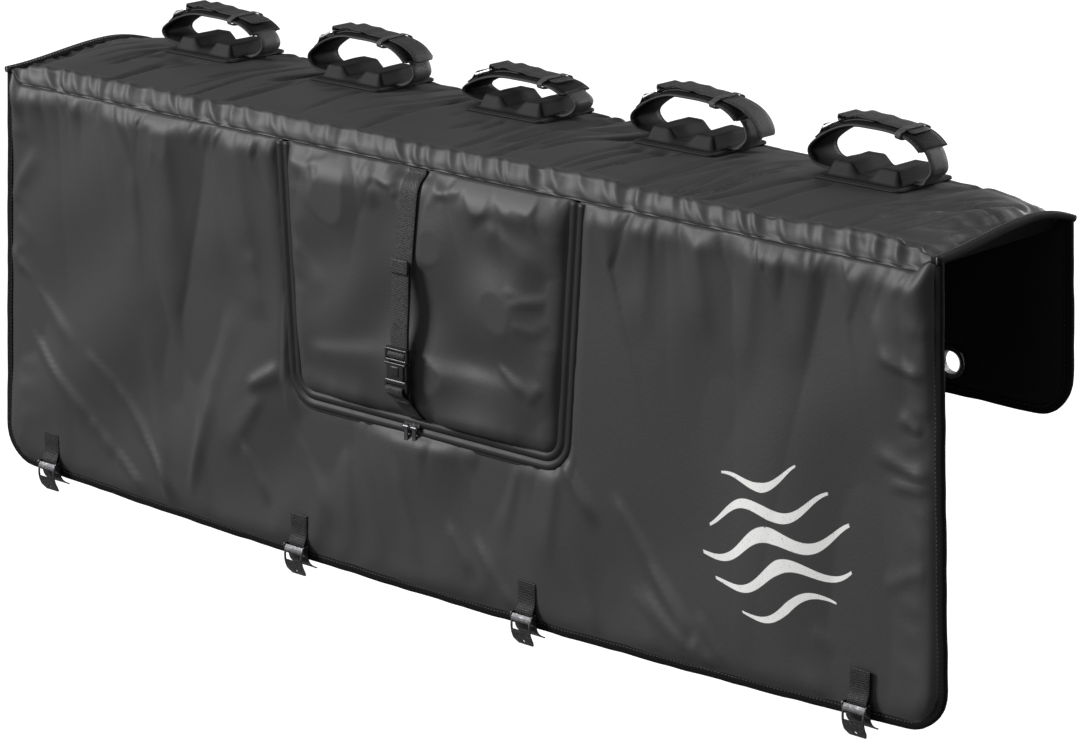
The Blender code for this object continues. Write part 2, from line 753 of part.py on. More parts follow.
def buckle_plug():
    """The ladder with its bars, and the two prongs and the tongue that enter the socket."""
    length = PLUG_LADDER
    sunk = 0.001
    rail = (BUCKLE_WIDTH - WEBBING_WIDTH) / 2 - SLOT_PLAY
    across = BUCKLE_WIDTH - rail
    foot = 0.15 * length
    body = box_mesh((BUCKLE_WIDTH, PLUG_THICK, foot), (0, 0, foot / 2 - length))
    pieces = []
    for side in (-1, 1):
        size = (rail, PLUG_THICK - 2 * SEWN, length - 2 * SEWN)
        pieces.append(box_mesh(size, (side * across / 2, 0, -length / 2)))
    pieces.append(rod_mesh(LADDER_TOP_BAR, across, (0, 0, -LADDER_TOP_BAR), sides=12))
    pieces.append(rod_mesh(LADDER_BAR, across, (0, 0, -length / 2), sides=12))
    reach = BUCKLE_WIDTH / 2 - BUCKLE_WALL - RUNNING
    depth = BUCKLE_THICK - 2 * BUCKLE_WALL - 2 * RUNNING
    for side in (-1, 1):
        place = (side * (reach - PRONG_WIDTH / 2), 0, sunk - length - PRONG_LENGTH / 2)
        pieces.append(box_mesh((PRONG_WIDTH, depth, PRONG_LENGTH + 2 * sunk), place))
    tongue = PRONG_LENGTH * 0.8
    place = (0, 0, sunk - length - tongue / 2)
    pieces.append(box_mesh((TONGUE_WIDTH, depth, tongue + 2 * sunk), place))
    mesh = combined(body, pieces, "UNION")
    node("buckle_plug", smooth_shading(mesh), PLASTIC, (STRAP_X, BUCKLE_Y, BUCKLE_TOP_Z))


def buckle_socket():
    """A flat box, open at the top for the prongs, with side windows and a strap slot at its foot."""
    pocket = PRONG_LENGTH + 0.001 + RUNNING
    inside = BUCKLE_THICK - 2 * BUCKLE_WALL
    body = box_mesh((BUCKLE_WIDTH, BUCKLE_THICK, SOCKET_LENGTH), (0, 0, -SOCKET_LENGTH / 2))
    cuts = [
        box_mesh((BUCKLE_WIDTH - 2 * BUCKLE_WALL, inside, 2 * pocket)),
        box_mesh((2 * BUCKLE_WIDTH, inside - RUNNING, 0.42 * pocket), (0, 0, -0.62 * pocket)),
        box_mesh(
            (WEBBING_WIDTH + 2 * SLOT_PLAY, 2 * BUCKLE_THICK, SLOT_HEIGHT),
            (0, 0, SOCKET_SLOT - SOCKET_LENGTH),
        ),
    ]
    mesh = combined(body, cuts, "DIFFERENCE")
    node("buckle_socket", mesh, PLASTIC, (STRAP_X, BUCKLE_Y, SOCKET_TOP_Z))


def socket_webbing():
    """Short webbing from the flap's foot, through the socket's slot and sewn back on itself."""
    foot_z = SOCKET_TOP_Z - SOCKET_LENGTH
    slot_z = foot_z + SOCKET_SLOT
    side = BUCKLE_THICK / 2 + SEWN + SOCKET_WEBBING / 2
    turn = SEWN + SOCKET_WEBBING
    layer = SOCKET_WEBBING + SEWN
    lie = EDGE_FACE_Y - ZIP_Y + ZIP_TAPE_THICK / 2 + SEWN + SOCKET_WEBBING / 2
    line = eased(
        over_swell(FLAP_FOOT_Z + ZIP_GAP_HALF, 1, lie)
        + [
            (BUCKLE_Y + side + 2 * layer, foot_z - 0.0135),
            (BUCKLE_Y + side + 0.5 * layer, foot_z - 0.0010),
            (BUCKLE_Y + side, slot_z - 0.2 * turn),
            (BUCKLE_Y + 0.3 * side, slot_z + 0.2 * turn),
            (BUCKLE_Y - 0.5 * side, slot_z + 0.2 * turn),
            (BUCKLE_Y - side - 0.3 * turn, slot_z - turn),
            (BUCKLE_Y - 0.8 * side, foot_z - 1.9 * turn),
            (BUCKLE_Y + 0.85 * side, foot_z - 0.0095),
            (BUCKLE_Y + side + 0.7 * layer, foot_z - 0.0145),
        ],
        4,
    )
    mesh = flat_mesh([strip(line, SOCKET_WEBBING)], WEBBING_WIDTH)
    node("socket_webbing", smooth_shading(mesh), WEB, (STRAP_X, 0, 0), SIDEWAYS)


# Hem buckles. Each is drawn about its pin, in a side view: -X points out of the panel, +Y up.

LEVER_LINE = [
    (-0.0006, 0.0014),
    (-0.0026, -0.0040),
    (-0.0034, -0.0110),
    (-0.0024, -0.0185),
    (0.0010, -0.0265),
    (0.0062, -0.0335),
]
BACK_LINE = [
    (0.0052, 0.0035),
    (0.0050, -0.0040),
    (0.0052, -0.0105),
    (0.0080, -0.0175),
    (0.0135, -0.0228),
    (0.0200, -0.0262),
]
SLOT_BELOW_PIN = 0.0105
THUMB_HOLE_BELOW_PIN = 0.0290
BACK_HOLE = 0.0155       # the hole in the frame's foot, behind the pin


def lever_mesh():
    """The lever: a curved plate with a webbing slot, a thumb tab with a small hole, and its pin."""
    width = CAM_WIDTH - 2 * EAR_THICK - 2 * RUNNING
    through = 0.04
    plate = turned(flat_mesh([strip(eased(LEVER_LINE, 3), CAM_PLATE)], width), SIDEWAYS)
    cuts = [
        box_mesh((LEVER_SLOT_WIDTH, through, LEVER_SLOT_HEIGHT), (0, 0, -SLOT_BELOW_PIN)),
        rod_mesh(LEVER_HOLE, through, (0, 0, -THUMB_HOLE_BELOW_PIN), "Y", 12),
    ]
    for side in (-1, 1):
        trim = box_mesh((0.012, through, 0.020))
        place = (side * (CAM_WIDTH / 2 + 0.0012), 0, LEVER_LINE[-1][1] - 0.001)
        cuts.append(turned(trim, (0, side * math.radians(28), 0), place))
    plate = combined(plate, cuts, "DIFFERENCE")
    pin = rod_mesh(PIN_RADIUS, CAM_WIDTH - 2 * PIN_PLAY, sides=16)
    return smooth_shading(combined(plate, [pin], "UNION"))


def cam_frame_mesh():
    """The frame: two ears that hold the pin, and a back plate that turns under the hem."""
    plate = flat_mesh([strip(eased(BACK_LINE, 3), CAM_PLATE)], CAM_WIDTH - 2 * SEWN)
    turned(plate, SIDEWAYS)
    ear_outline = rounded(
        [
            (-0.0030, 0.0030, 0.0022),
            (-0.0030, -0.0035, 0.0022),
            (0.0054, -0.0120, 0.0010),
            (0.0054, 0.0030, 0.0010),
        ]
    )
    ears = []
    for side in (-1, 1):
        place = (side * (CAM_WIDTH - EAR_THICK) / 2, 0, 0)
        ears.append(turned(flat_mesh([ear_outline], EAR_THICK), SIDEWAYS, place))
    mesh = combined(plate, ears, "UNION")
    cuts = [
        rod_mesh(PIN_RADIUS + PIN_PLAY, 2 * CAM_WIDTH, sides=16),
        rod_mesh(LEVER_HOLE, 0.02, (0, BACK_HOLE, -0.022), "Z", 12),
    ]
    return smooth_shading(combined(mesh, cuts, "DIFFERENCE"))


def hem_tab_mesh():
    """The webbing tab: sewn to the panel, down over the hem and round behind the pin."""
    lie = CAM_OUT - SEWN - TAB_WEBBING / 2 - SEWN
    behind = PIN_RADIUS + 2 * SEWN + TAB_WEBBING / 2
    rise = TAB_RISE - CAM_ABOVE_HEM
    line = eased(
        [
            (lie, rise),
            (lie, rise * 0.55),
            (lie - 0.0008, 0.0125),
            (behind, 0.0045),
            (behind, -0.0012),
            (0.0005, -behind),
            (-0.0004, -behind),
        ],
        4,
    )
    return smooth_shading(flat_mesh([strip(line, TAB_WEBBING)], WEBBING_WIDTH))


def hem_buckles():
    lever = lever_mesh()
    frame = cam_frame_mesh()
    tab = hem_tab_mesh()
    for number, x in enumerate(HEM_TAB_X, 1):
        place = (x, PANEL_FACE_Y - CAM_OUT, hem_z(x) + CAM_ABOVE_HEM)
        node(f"hem_tab_{number}", tab.copy(), WEB, place, SIDEWAYS)
        node(f"cam_frame_{number}", frame.copy(), GUNMETAL, place)
        node(f"cam_lever_{number}", lever.copy(), GUNMETAL, place)


# Eyelets

def eyelets():
    """Two-part eyelets: a flanged barrel from the outside, and a washer it is spread over inside."""
    half = REAR_BODY / 2 + SEWN
    seat = half - EYELET_RECESS
    inner = EYELET_HOLE
    barrel = EYELET_HOLE + EYELET_BARREL
    eyelet = [
        (EYELET_FLANGE, half),
        (EYELET_FLANGE - 0.0006, half + EYELET_LIP * 0.7),
        ((EYELET_FLANGE + inner) / 2, half + EYELET_LIP),
        (inner + 0.0008, half + EYELET_LIP * 0.8),
        (inner, half),
        (inner, -seat - EYELET_LIP),
        (barrel - 0.0004, -seat - EYELET_LIP - 0.0004),
        (barrel, -seat - EYELET_LIP),
        (barrel, half),
    ]
    washer = [
        (barrel + SEWN, -seat),
        (EYELET_FLANGE - 0.0006, -seat),
        (EYELET_FLANGE - 0.0012, -seat - EYELET_LIP * 0.8),
        (barrel + SEWN, -seat - EYELET_LIP * 0.9),
    ]
    for side, name in ((-1, "left"), (1, "right")):
        place = (side * EYELET_X, REAR_MIDDLE_Y, EYELET_Z)
        turned_ring("eyelet_" + name, eyelet, place)
        turned_ring("eyelet_washer_" + name, washer, place)


def turned_ring(name, profile, place):
    """A ring turned about the Y axis through its place. The profile's height points out at the back."""
    curve = bpy.data.meshes.new(name)
    points = [(radius, 0, height) for radius, height in profile]
    edges = [(i, (i + 1) % len(points)) for i in range(len(points))]
    curve.from_pydata(points, edges, [])
    holder = bpy.data.objects.new(name, curve)
    PARTS.objects.link(holder)
    spin = holder.modifiers.new("turn", "SCREW")
    spin.steps = TURN_STEPS
    spin.render_steps = TURN_STEPS
    spin.use_merge_vertices = True
    spin.merge_threshold = 0.00001
    mesh = taken(holder)
    shape = bmesh.new()
    shape.from_mesh(mesh)
    bmesh.ops.recalc_face_normals(shape, faces=shape.faces)
    shape.to_mesh(mesh)
    shape.free()
    node(name, smooth_shading(mesh), NICKEL, place, (-math.pi / 2, 0, 0))


# Cradles. Their side views are drawn from the middle of the base's top face: X along the pad, Y up.

def cradle_pad_mesh():
    """Base plate and saddle in one cover: two foam humps with a valley where a down tube lies."""
    half_x = BASE_LENGTH / 2
    half_y = BASE_DEPTH / 2
    corners = [(-half_x, -half_y), (half_x, -half_y), (half_x, half_y), (-half_x, half_y)]
    plate = flat_mesh([rounded([(x, y, BASE_CORNER) for x, y in corners])], BASE_THICK)
    turned(plate, (0, 0, 0), (0, 0, -BASE_THICK / 2))
    reach = SADDLE_LENGTH / 2
    half_side = [
        (VALLEY_FLOOR / 2, SADDLE_RISE - VALLEY_DEPTH, 0.004),
        (VALLEY_WIDTH / 2, SADDLE_RISE, 0.005),
        (reach * 0.82, SADDLE_RISE, 0.004),
        (reach, SADDLE_RISE * 0.80, 0.004),
        (reach, -BASE_THICK / 2, 0),
    ]
    other_side = [(-x, z, radius) for x, z, radius in reversed(half_side)]
    saddle = turned(flat_mesh([rounded(half_side + other_side)], SADDLE_DEPTH), STANDING)
    return smooth_shading(combined(plate, [saddle], "UNION"))


def arch(height, left, right):
    """The padded strap's centre line, from its right foot over the top to its left foot."""
    foot = (BASE_LENGTH / 2 + SADDLE_LENGTH / 2) / 2 - FOOT_THICK
    low = PAD_STRAP_THICK / 2 + SEWN
    web = FOOT_THICK / 2 + SEWN
    top = height - PAD_STRAP_THICK / 2
    points = [
        (foot, web),
        (foot + 0.012, web + 0.0002),
        (right - 0.006, web + 0.0055),
        (right, 0.0170),
        (right * 0.90, top * 0.66),
        (right * 0.66, top * 0.90),
        (right * 0.34, top * 0.985),
        (0.0, top),
        (-left * 0.34, top * 0.975),
        (-left * 0.66, top * 0.80),
        (-left * 0.93, top * 0.52),
        (-left, top * 0.33),
        (-left + 0.007, low + 0.0035),
        (-foot - 0.010, low + 0.0003),
        (-foot, low),
    ]
    return eased(points, 3)


def lengths(line):
    """Distance along the line at each of its points."""
    run = [0.0]
    for (x0, y0), (x1, y1) in zip(line, line[1:]):
        run.append(run[-1] + math.hypot(x1 - x0, y1 - y0))
    return run


def beside(line, distance, offset):
    """The point at a distance along the line, moved out to its right by offset."""
    run = lengths(line)
    index = max(i for i in range(len(line) - 1) if run[i] <= distance or i == 0)
    share = (distance - run[index]) / (run[index + 1] - run[index])
    start_point, end_point = Vector(line[index]), Vector(line[index + 1])
    before = Vector(line[max(index - 1, 0)])
    after = Vector(line[min(index + 2, len(line) - 1)])
    way = ((end_point - before) * (1 - share) + (after - start_point) * share).normalized()
    return start_point.lerp(end_point, share) + Vector((way.y, -way.x)) * offset


def ring_seat(line, top):
    """Where the ring lies: its lower bar, its direction up the strap, and outwards from the strap."""
    height = PAD_STRAP_THICK / 2 + SEWN + HOOK_THICK + SEWN + RING_WIRE
    upper = beside(line, top + RING_STATION, height)
    reach = top + RING_STATION
    while (beside(line, reach, height) - upper).length < RING_PITCH:
        reach += 0.0002
    lower = beside(line, reach, height)
    up = (upper - lower).normalized()
    return lower, up, Vector((-up.y, up.x)), reach


def cradles():
    pad = cradle_pad_mesh()
    for index, (height, left, right, tail, curl) in enumerate(STRAPS):
        number = index + 1
        x = (index - (len(STRAPS) - 1) / 2) * CRADLE_PITCH
        place = (x, CRADLE_Y, CRADLE_TOP_Z)
        line = arch(height, left, right)
        middle = min(range(len(line)), key=lambda spot: abs(line[spot][0]))
        top = lengths(line)[middle]
        seat = ring_seat(line, top)
        node(f"cradle_pad_{number}", pad.copy(), RUBBER, place)
        node(f"padded_strap_{number}", padded_strap_mesh(line), STRAP_FELT, place, STANDING)
        mesh = hook_strap_mesh(line, top, seat, tail, curl)
        node(f"hook_strap_{number}", mesh, WEB, place, STANDING)
        node(f"ring_tab_{number}", ring_tab_mesh(line, seat), WEB, place, STANDING)
        lower, up, _, _ = seat
        spot = (x + lower.x, CRADLE_Y, CRADLE_TOP_Z + lower.y)
        node(f"ring_{number}", ring_mesh(), NICKEL, spot, (0, -math.atan2(up.y, up.x), 0))


def padded_strap_mesh(line):
    """The foam sleeve of the strap, and the narrower webbing that ends it at its right foot."""
    run = lengths(line)
    start_index = next(i for i in range(len(line)) if run[i] > FOOT_LENGTH)
    padded = [tuple(beside(line, run[i], 0.0)) for i in range(start_index, len(line))]
    sleeve = flat_mesh([strip(padded, PAD_STRAP_THICK)], PAD_STRAP_WIDTH)
    web = flat_mesh([strip(line[: start_index + 2], FOOT_THICK)], FOOT_WIDTH)
    return smooth_shading(combined(sleeve, [web], "UNION"))


def hook_strap_mesh(line, top, seat, tail, curl):
    """Hook-and-loop strap: sewn on at the top, through the ring, and back over itself to a free tail."""
    first = PAD_STRAP_THICK / 2 + SEWN + HOOK_THICK / 2
    second = first + HOOK_THICK + SEWN
    lower, up, out, _ = seat
    upper = lower + up * RING_PITCH
    turn = RING_WIRE + SEWN + HOOK_THICK / 2
    lift = RING_PITCH * math.sin(math.radians(RING_SWING)) + SEWN
    bar = top + RING_STATION
    shares = (1.0, 0.8, 0.575, 0.35, 0.15)
    path = [tuple(beside(line, bar - HOOK_LEAD * share, first)) for share in shares]
    for step in range(7):
        angle = math.pi * step / 6
        raised = lift if step > 3 else 0.0
        spot = upper - out * (turn * math.cos(angle)) - up * (turn * math.sin(angle)) + out * raised
        path.append(tuple(spot))
        if step == 3:
            path.append(tuple(spot + out * lift))
    slack = 0.003 + turn + lift
    for share, height in ((0.20, slack), (0.45, second + 0.0024), (0.70, second + 0.0002)):
        path.append(tuple(beside(line, bar - HOOK_LEAD * share, max(height, second))))
    for step in (0.006, -0.001):
        path.append(tuple(beside(line, top + step, second)))
    for share in (0.24, 0.43, 0.62, 0.81, 1.0):
        path.append(tuple(beside(line, top - HOOK_RUN * share, first + 0.0001)))
    here = Vector(path[-1])
    way = (here - Vector(path[-2])).normalized()
    steps = 8
    for step in range(steps):
        share = 2 * (step + 0.5) / steps**2
        way.rotate(Matrix.Rotation(-math.radians(curl * 1000 * tail * share), 2))
        here = here + way * (tail / steps)
        path.append(tuple(here))
    return smooth_shading(flat_mesh([strip(path, HOOK_THICK)], HOOK_WIDTH))


def ring_tab_mesh(line, seat):
    """Folded webbing on the strap's left leg. The ring's lower bar turns in its fold."""
    lower, up, out, reach = seat
    first = PAD_STRAP_THICK / 2 + SEWN + RING_TAB_THICK / 2
    turn = RING_WIRE + RUNNING + RING_TAB_THICK / 2
    path = [tuple(beside(line, reach + TAB_RUN * share, first)) for share in (1.0, 0.5, 0.25)]
    for step in range(7):
        angle = math.pi * step / 6
        path.append(tuple(lower - out * (turn * math.cos(angle)) + up * (turn * math.sin(angle))))
    second = first + RING_TAB_THICK + SEWN
    path.append(tuple(beside(line, reach + 0.005, second + 0.0022)))
    path.append(tuple(beside(line, reach + TAB_RUN * 0.6, second)))
    path.append(tuple(beside(line, reach + TAB_RUN, second)))
    return smooth_shading(flat_mesh([strip(path, RING_TAB_THICK)], RING_TAB_WIDTH))


def ring_mesh():
    """A closed wire ring. Its lower bar lies on its own Y axis, and its upper bar at RING_PITCH."""
    half = HOOK_WIDTH / 2 + 3 * RUNNING + RING_WIRE
    corner = RING_WIRE + 2 * RUNNING
    corners = [(0, -half), (RING_PITCH, -half), (RING_PITCH, half), (0, half)]
    path = rounded([(x, y, corner) for x, y in corners])
    angles = [math.pi * k / 4 for k in range(8)]
    section = [(RING_WIRE * math.cos(angle), RING_WIRE * math.sin(angle)) for angle in angles]
    return smooth_shading(swept_mesh(path, section, closed=True))


front_panel()
window_flap()
rear_flap()
top_panel()
bindings()
zip_parts()
flap_strap()
buckle_plug()
buckle_socket()
socket_webbing()
hem_buckles()
eyelets()
cradles()
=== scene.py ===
import math

import bmesh
import bpy
import numpy as np
from mathutils import Matrix, Vector


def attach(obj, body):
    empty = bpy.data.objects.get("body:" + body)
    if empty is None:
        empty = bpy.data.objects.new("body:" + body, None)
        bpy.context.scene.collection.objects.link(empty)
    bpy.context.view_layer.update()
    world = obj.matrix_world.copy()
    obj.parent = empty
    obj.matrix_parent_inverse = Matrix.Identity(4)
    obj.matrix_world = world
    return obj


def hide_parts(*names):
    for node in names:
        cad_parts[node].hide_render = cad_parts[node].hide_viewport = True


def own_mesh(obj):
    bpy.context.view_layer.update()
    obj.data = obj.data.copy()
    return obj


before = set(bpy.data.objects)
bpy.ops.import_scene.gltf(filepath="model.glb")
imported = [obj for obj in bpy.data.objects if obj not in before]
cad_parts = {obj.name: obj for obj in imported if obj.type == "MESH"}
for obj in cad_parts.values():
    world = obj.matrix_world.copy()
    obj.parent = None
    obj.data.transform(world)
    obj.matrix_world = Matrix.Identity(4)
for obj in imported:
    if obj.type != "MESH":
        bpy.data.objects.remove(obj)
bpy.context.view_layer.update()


# Studio
# The camera stands at the photograph's place, looking slightly down along the pad from its right end.
# A pale floor lies well below the hanging pad. The key light comes from high on the front left, and
# weak boxes fill the front, the open right end and the back.

scene = bpy.context.scene
scene.view_settings.view_transform = "Standard"

CAMERA_PLACE = Vector((2.7905, -3.0998, 0.9499))
YAW, PITCH, ROLL = 0.7215, -0.2802, 0.0043
FOCAL_PIXELS, IMAGE_WIDTH = 3911.4, 1080

forward = Vector((-math.sin(YAW) * math.cos(PITCH), math.cos(YAW) * math.cos(PITCH), math.sin(PITCH)))
level = Vector((math.cos(YAW), math.sin(YAW), 0))
upright = level.cross(forward)
right = level * math.cos(ROLL) + upright * math.sin(ROLL)
up = upright * math.cos(ROLL) - level * math.sin(ROLL)
camera = bpy.data.objects.new("camera", bpy.data.cameras.new("camera"))
scene.collection.objects.link(camera)
camera.matrix_world = Matrix.Translation(CAMERA_PLACE) @ Matrix((right, up, -forward)).transposed().to_4x4()
camera.data.sensor_width = 36
camera.data.lens = 36 * FOCAL_PIXELS / IMAGE_WIDTH
scene.camera = camera


def softbox(name, place, target, width, height, power):
    lamp = bpy.data.lights.new(name, "AREA")
    lamp.shape = "RECTANGLE"
    lamp.size, lamp.size_y = width, height
    lamp.energy = power
    box = bpy.data.objects.new(name, lamp)
    scene.collection.objects.link(box)
    box.location = place
    box.rotation_euler = (Vector(target) - Vector(place)).to_track_quat("-Z", "Y").to_euler()


softbox("key", (-8.0, -7.4, 5.6), (0.1, 0, -0.1), 4.0, 3.2, 1850)
softbox("low_front", (0.6, -2.9, 0.2), (0.4, 0, -0.25), 1.8, 0.9, 10)
softbox("right_back", (1.9, 2.0, 2.6), (0.3, 0, 0), 1.2, 1.0, 50)
softbox("rear", (0.3, 3.7, 0.5), (0, 0, -0.1), 2.4, 1.2, 110)


class Shade:
    """A socket of the material being made. Arithmetic on it adds Math nodes."""

    def __init__(self, tree, socket=None):
        self.tree = tree
        self.socket = socket

    def node(self, kind, settings=None, inputs=None, output=0):
        """Adds a node: its settings first, then the values or links of its sockets."""
        made = self.tree.nodes.new(kind)
        for name, value in (settings or {}).items():
            if name == "stops":
                ramp = made.color_ramp.elements
                while len(ramp) < len(value):
                    ramp.new(0.5)
                for element, (place, colour) in zip(ramp, value):
                    element.position = place
                    element.color = colour
            else:
                setattr(made, name, value)
        for name, value in (inputs or {}).items():
            if isinstance(value, Shade):
                self.tree.links.new(value.socket, made.inputs[name])
            else:
                made.inputs[name].default_value = value
        return Shade(self.tree, made.outputs[output])

    def math(self, operation, *values):
        return self.node("ShaderNodeMath", {"operation": operation}, dict(enumerate(values)))

    def __add__(self, other):
        return self.math("ADD", self, other)

    def __sub__(self, other):
        return self.math("SUBTRACT", self, other)

    def __rsub__(self, other):
        return self.math("SUBTRACT", other, self)

    def __mul__(self, other):
        return self.math("MULTIPLY", self, other)

    def __truediv__(self, other):
        return self.math("DIVIDE", self, other)

    __radd__ = __add__
    __rmul__ = __mul__

    def wave(self, length):
        """A sine along this value, from 0 to 1, that repeats after length."""
        return self.math("SINE", self * (math.tau / length)) * 0.5 + 0.5

    def band(self, low, high, soft):
        """1 between low and high, with soft edges."""
        rise = self.node("ShaderNodeMapRange", None, {0: self, 1: low - soft, 2: low + soft})
        fall = self.node("ShaderNodeMapRange", None, {0: self, 1: high - soft, 2: high + soft})
        return rise * (1 - fall)

    def mixed(self, low, high):
        """The colour from low to high by this value."""
        return self.node("ShaderNodeMix", {"data_type": "RGBA"}, {0: self, 6: low, 7: high}, 2)

    def noise(self, place, size, detail=2.0):
        """Even noise from 0 to 1 with grains of about this size in metres."""
        return self.node("ShaderNodeTexNoise", None, {"Vector": place, "Scale": 1 / size, "Detail": detail})

    def axes(self, vector):
        split = self.node("ShaderNodeSeparateXYZ", None, {0: vector}).socket.node
        return [Shade(self.tree, output) for output in split.outputs]

    def place(self):
        return self.node("ShaderNodeTexCoord", None, None, "Object")

    def rays(self, *kinds):
        """For each kind of light ray: 1 where a ray of that kind meets the surface."""
        outputs = self.node("ShaderNodeLightPath").socket.node.outputs
        return [Shade(self.tree, outputs[f"Is {kind} Ray"]) for kind in kinds]

    def cloth(self):
        """Where a strip's cloth lies: metres across it and metres along it."""
        return self.axes(self.node("ShaderNodeUVMap", {"uv_map": "cloth"}))[:2]

    def bump(self, height, depth):
        """A normal from a height that runs from 0 to 1 over depth metres."""
        return self.node("ShaderNodeBump", None, {"Height": height, "Strength": 1.0, "Distance": depth})


def finish(name, **constants):
    """A new material, its Shade and its shader. The constants go on the shader's own sockets."""
    material = bpy.data.materials.new(name)
    material.use_nodes = True
    shader = material.node_tree.nodes["Principled BSDF"]
    for socket, value in constants.items():
        shader.inputs[socket.replace("_", " ")].default_value = value
    return material, Shade(material.node_tree), shader


def feed(shader, **links):
    for socket, value in links.items():
        shader.id_data.links.new(value.socket, shader.inputs[socket.replace("_", " ")])


def grey(value, cool=1.0):
    return (value, value, value * cool, 1)


FLOOR_HALF, FLOOR_LEVEL = 12, -0.75

floor_paint, shade, shader = finish("pale_floor", Base_Color=grey(0.15), Roughness=0.9, Emission_Strength=1.0)
seen = shade.math("MAXIMUM", *shade.rays("Camera", "Transmission"))
feed(shader, Emission_Color=seen.mixed(grey(0), grey(1)))
floor_mesh = bpy.data.meshes.new("floor")
corners = [(x * FLOOR_HALF, y * FLOOR_HALF, FLOOR_LEVEL) for x, y in ((-1, -1), (1, -1), (1, 1), (-1, 1))]
floor_mesh.from_pydata(corners, [], [(0, 1, 2, 3)])
floor = bpy.data.objects.new("floor", floor_mesh)
floor_mesh.materials.append(floor_paint)
scene.collection.objects.link(floor)

world = bpy.data.worlds.new("studio")
scene.world = world
world.use_nodes = True
sky = Shade(world.node_tree)
camera_ray, glass_ray, mirror_ray = sky.rays("Camera", "Transmission", "Glossy")
background = world.node_tree.nodes["Background"]
seen = sky.math("MAXIMUM", sky.math("MAXIMUM", camera_ray, glass_ray), mirror_ray * 0.09)
background.inputs["Strength"].default_value = 1.0
sky.tree.links.new(seen.mixed(grey(0.20), grey(1)).socket, background.inputs["Color"])


# Front panel
# One piece of coated fabric over foam, gathered on the top seam, with a black lining inside.
# A grid is fitted to the cut, swelled from its sewn edges and creased; the window is left open.

FRONT_FACE = -0.1167
SEAM_HALF, HEM_HALF, FRONT_DROP, FRONT_CORNER = 0.675, 0.699, 0.4675, 0.045
HEM_SAG, CORNER_RISE = 0.016, 0.0140
FRONT_THICK, SEWN_THICK, TAPE_WIDTH = 0.012, 0.0044, 0.0090
WINDOW_TOP, WINDOW_FOOT, WINDOW_DROP, WINDOW_CORNER = 0.216, 0.198, 0.2915, 0.028

# Long soft folds: from x, z to x, z, then half width and height
FRONT_FOLDS = [
    (-0.682, -0.144, -0.626, -0.080, 0.010, 0.0020),
    (-0.678, -0.202, -0.642, -0.238, 0.008, 0.0020),
    (-0.642, -0.238, -0.570, -0.297, 0.010, 0.0018),
    (-0.673, -0.278, -0.616, -0.326, 0.007, 0.0022),
    (-0.616, -0.326, -0.539, -0.391, 0.009, 0.0024),
    (-0.539, -0.391, -0.507, -0.423, 0.008, 0.0018),
    (-0.497, -0.423, -0.455, -0.454, 0.006, 0.0018),
    (-0.536, -0.308, -0.489, -0.343, 0.009, 0.0016),
    (-0.489, -0.343, -0.448, -0.390, 0.008, 0.0024),
    (-0.448, -0.390, -0.399, -0.450, 0.007, 0.0030),
    (-0.368, -0.428, -0.333, -0.303, 0.010, 0.0028),
    (-0.333, -0.303, -0.298, -0.213, 0.014, 0.0018),
    (-0.412, -0.458, -0.428, -0.372, 0.010, 0.0018),
    (-0.428, -0.372, -0.436, -0.259, 0.016, 0.0014),
    (-0.398, -0.016, -0.389, -0.155, 0.020, 0.0026),
    (-0.455, -0.081, -0.451, -0.187, 0.012, 0.0012),
    (-0.288, -0.010, -0.264, -0.141, 0.018, 0.0028),
    (-0.264, -0.141, -0.252, -0.205, 0.016, 0.0018),
    (-0.279, -0.368, -0.244, -0.422, 0.007, 0.0026),
    (-0.267, -0.290, -0.222, -0.265, 0.009, 0.0034),
    (-0.253, -0.307, -0.303, -0.374, 0.012, 0.0016),
    (-0.338, -0.030, -0.314, -0.154, 0.014, 0.0016),
    (0.199, -0.282, 0.244, -0.338, 0.008, 0.0030),
    (0.277, -0.315, 0.326, -0.378, 0.009, 0.0022),
    (0.326, -0.378, 0.385, -0.442, 0.010, 0.0030),
    (0.385, -0.442, 0.407, -0.470, 0.009, 0.0026),
    (0.317, -0.407, 0.385, -0.453, 0.007, 0.0018),
    (0.135, -0.304, 0.110, -0.388, 0.012, 0.0016),
    (0.038, -0.396, 0.069, -0.438, 0.008, 0.0016),
    (0.079, -0.407, 0.130, -0.471, 0.008, 0.0022),
    (0.307, -0.414, 0.402, -0.467, 0.008, 0.0016),
    (0.391, -0.415, 0.422, -0.461, 0.008, 0.0014),
    (0.538, -0.396, 0.577, -0.415, 0.010, 0.0010),
    (0.659, -0.103, 0.614, -0.089, 0.007, 0.0024),
    (0.661, -0.159, 0.639, -0.148, 0.007, 0.0024),
    (0.666, -0.206, 0.610, -0.192, 0.008, 0.0026),
    (0.672, -0.217, 0.626, -0.221, 0.006, 0.0018),
    (0.665, -0.304, 0.617, -0.331, 0.008, 0.0012),
    (0.321, 0.003, 0.303, -0.122, 0.016, 0.0018),
    (0.458, -0.010, 0.435, -0.149, 0.018, 0.0020),
    (0.380, -0.008, 0.389, -0.106, 0.014, 0.0018),
    (0.527, -0.010, 0.511, -0.114, 0.015, 0.0018),
    (0.582, -0.019, 0.634, -0.111, 0.014, 0.0016),
    (-0.193, -0.342, -0.147, -0.427, 0.012, 0.0016),
    (-0.123, -0.345, -0.116, -0.444, 0.014, 0.0014),
    (-0.038, -0.345, -0.009, -0.443, 0.012, 0.0016),
    (0.195, -0.295, 0.175, -0.401, 0.012, 0.0014),
]


def eased(share):
    share = np.clip(share, 0, 1)
    return share * share * (3 - 2 * share)


def ridge(off, width):
    """A round ridge: 1 on its crest, next to nothing at twice the width from it."""
    return np.exp(-((off / width) ** 2))


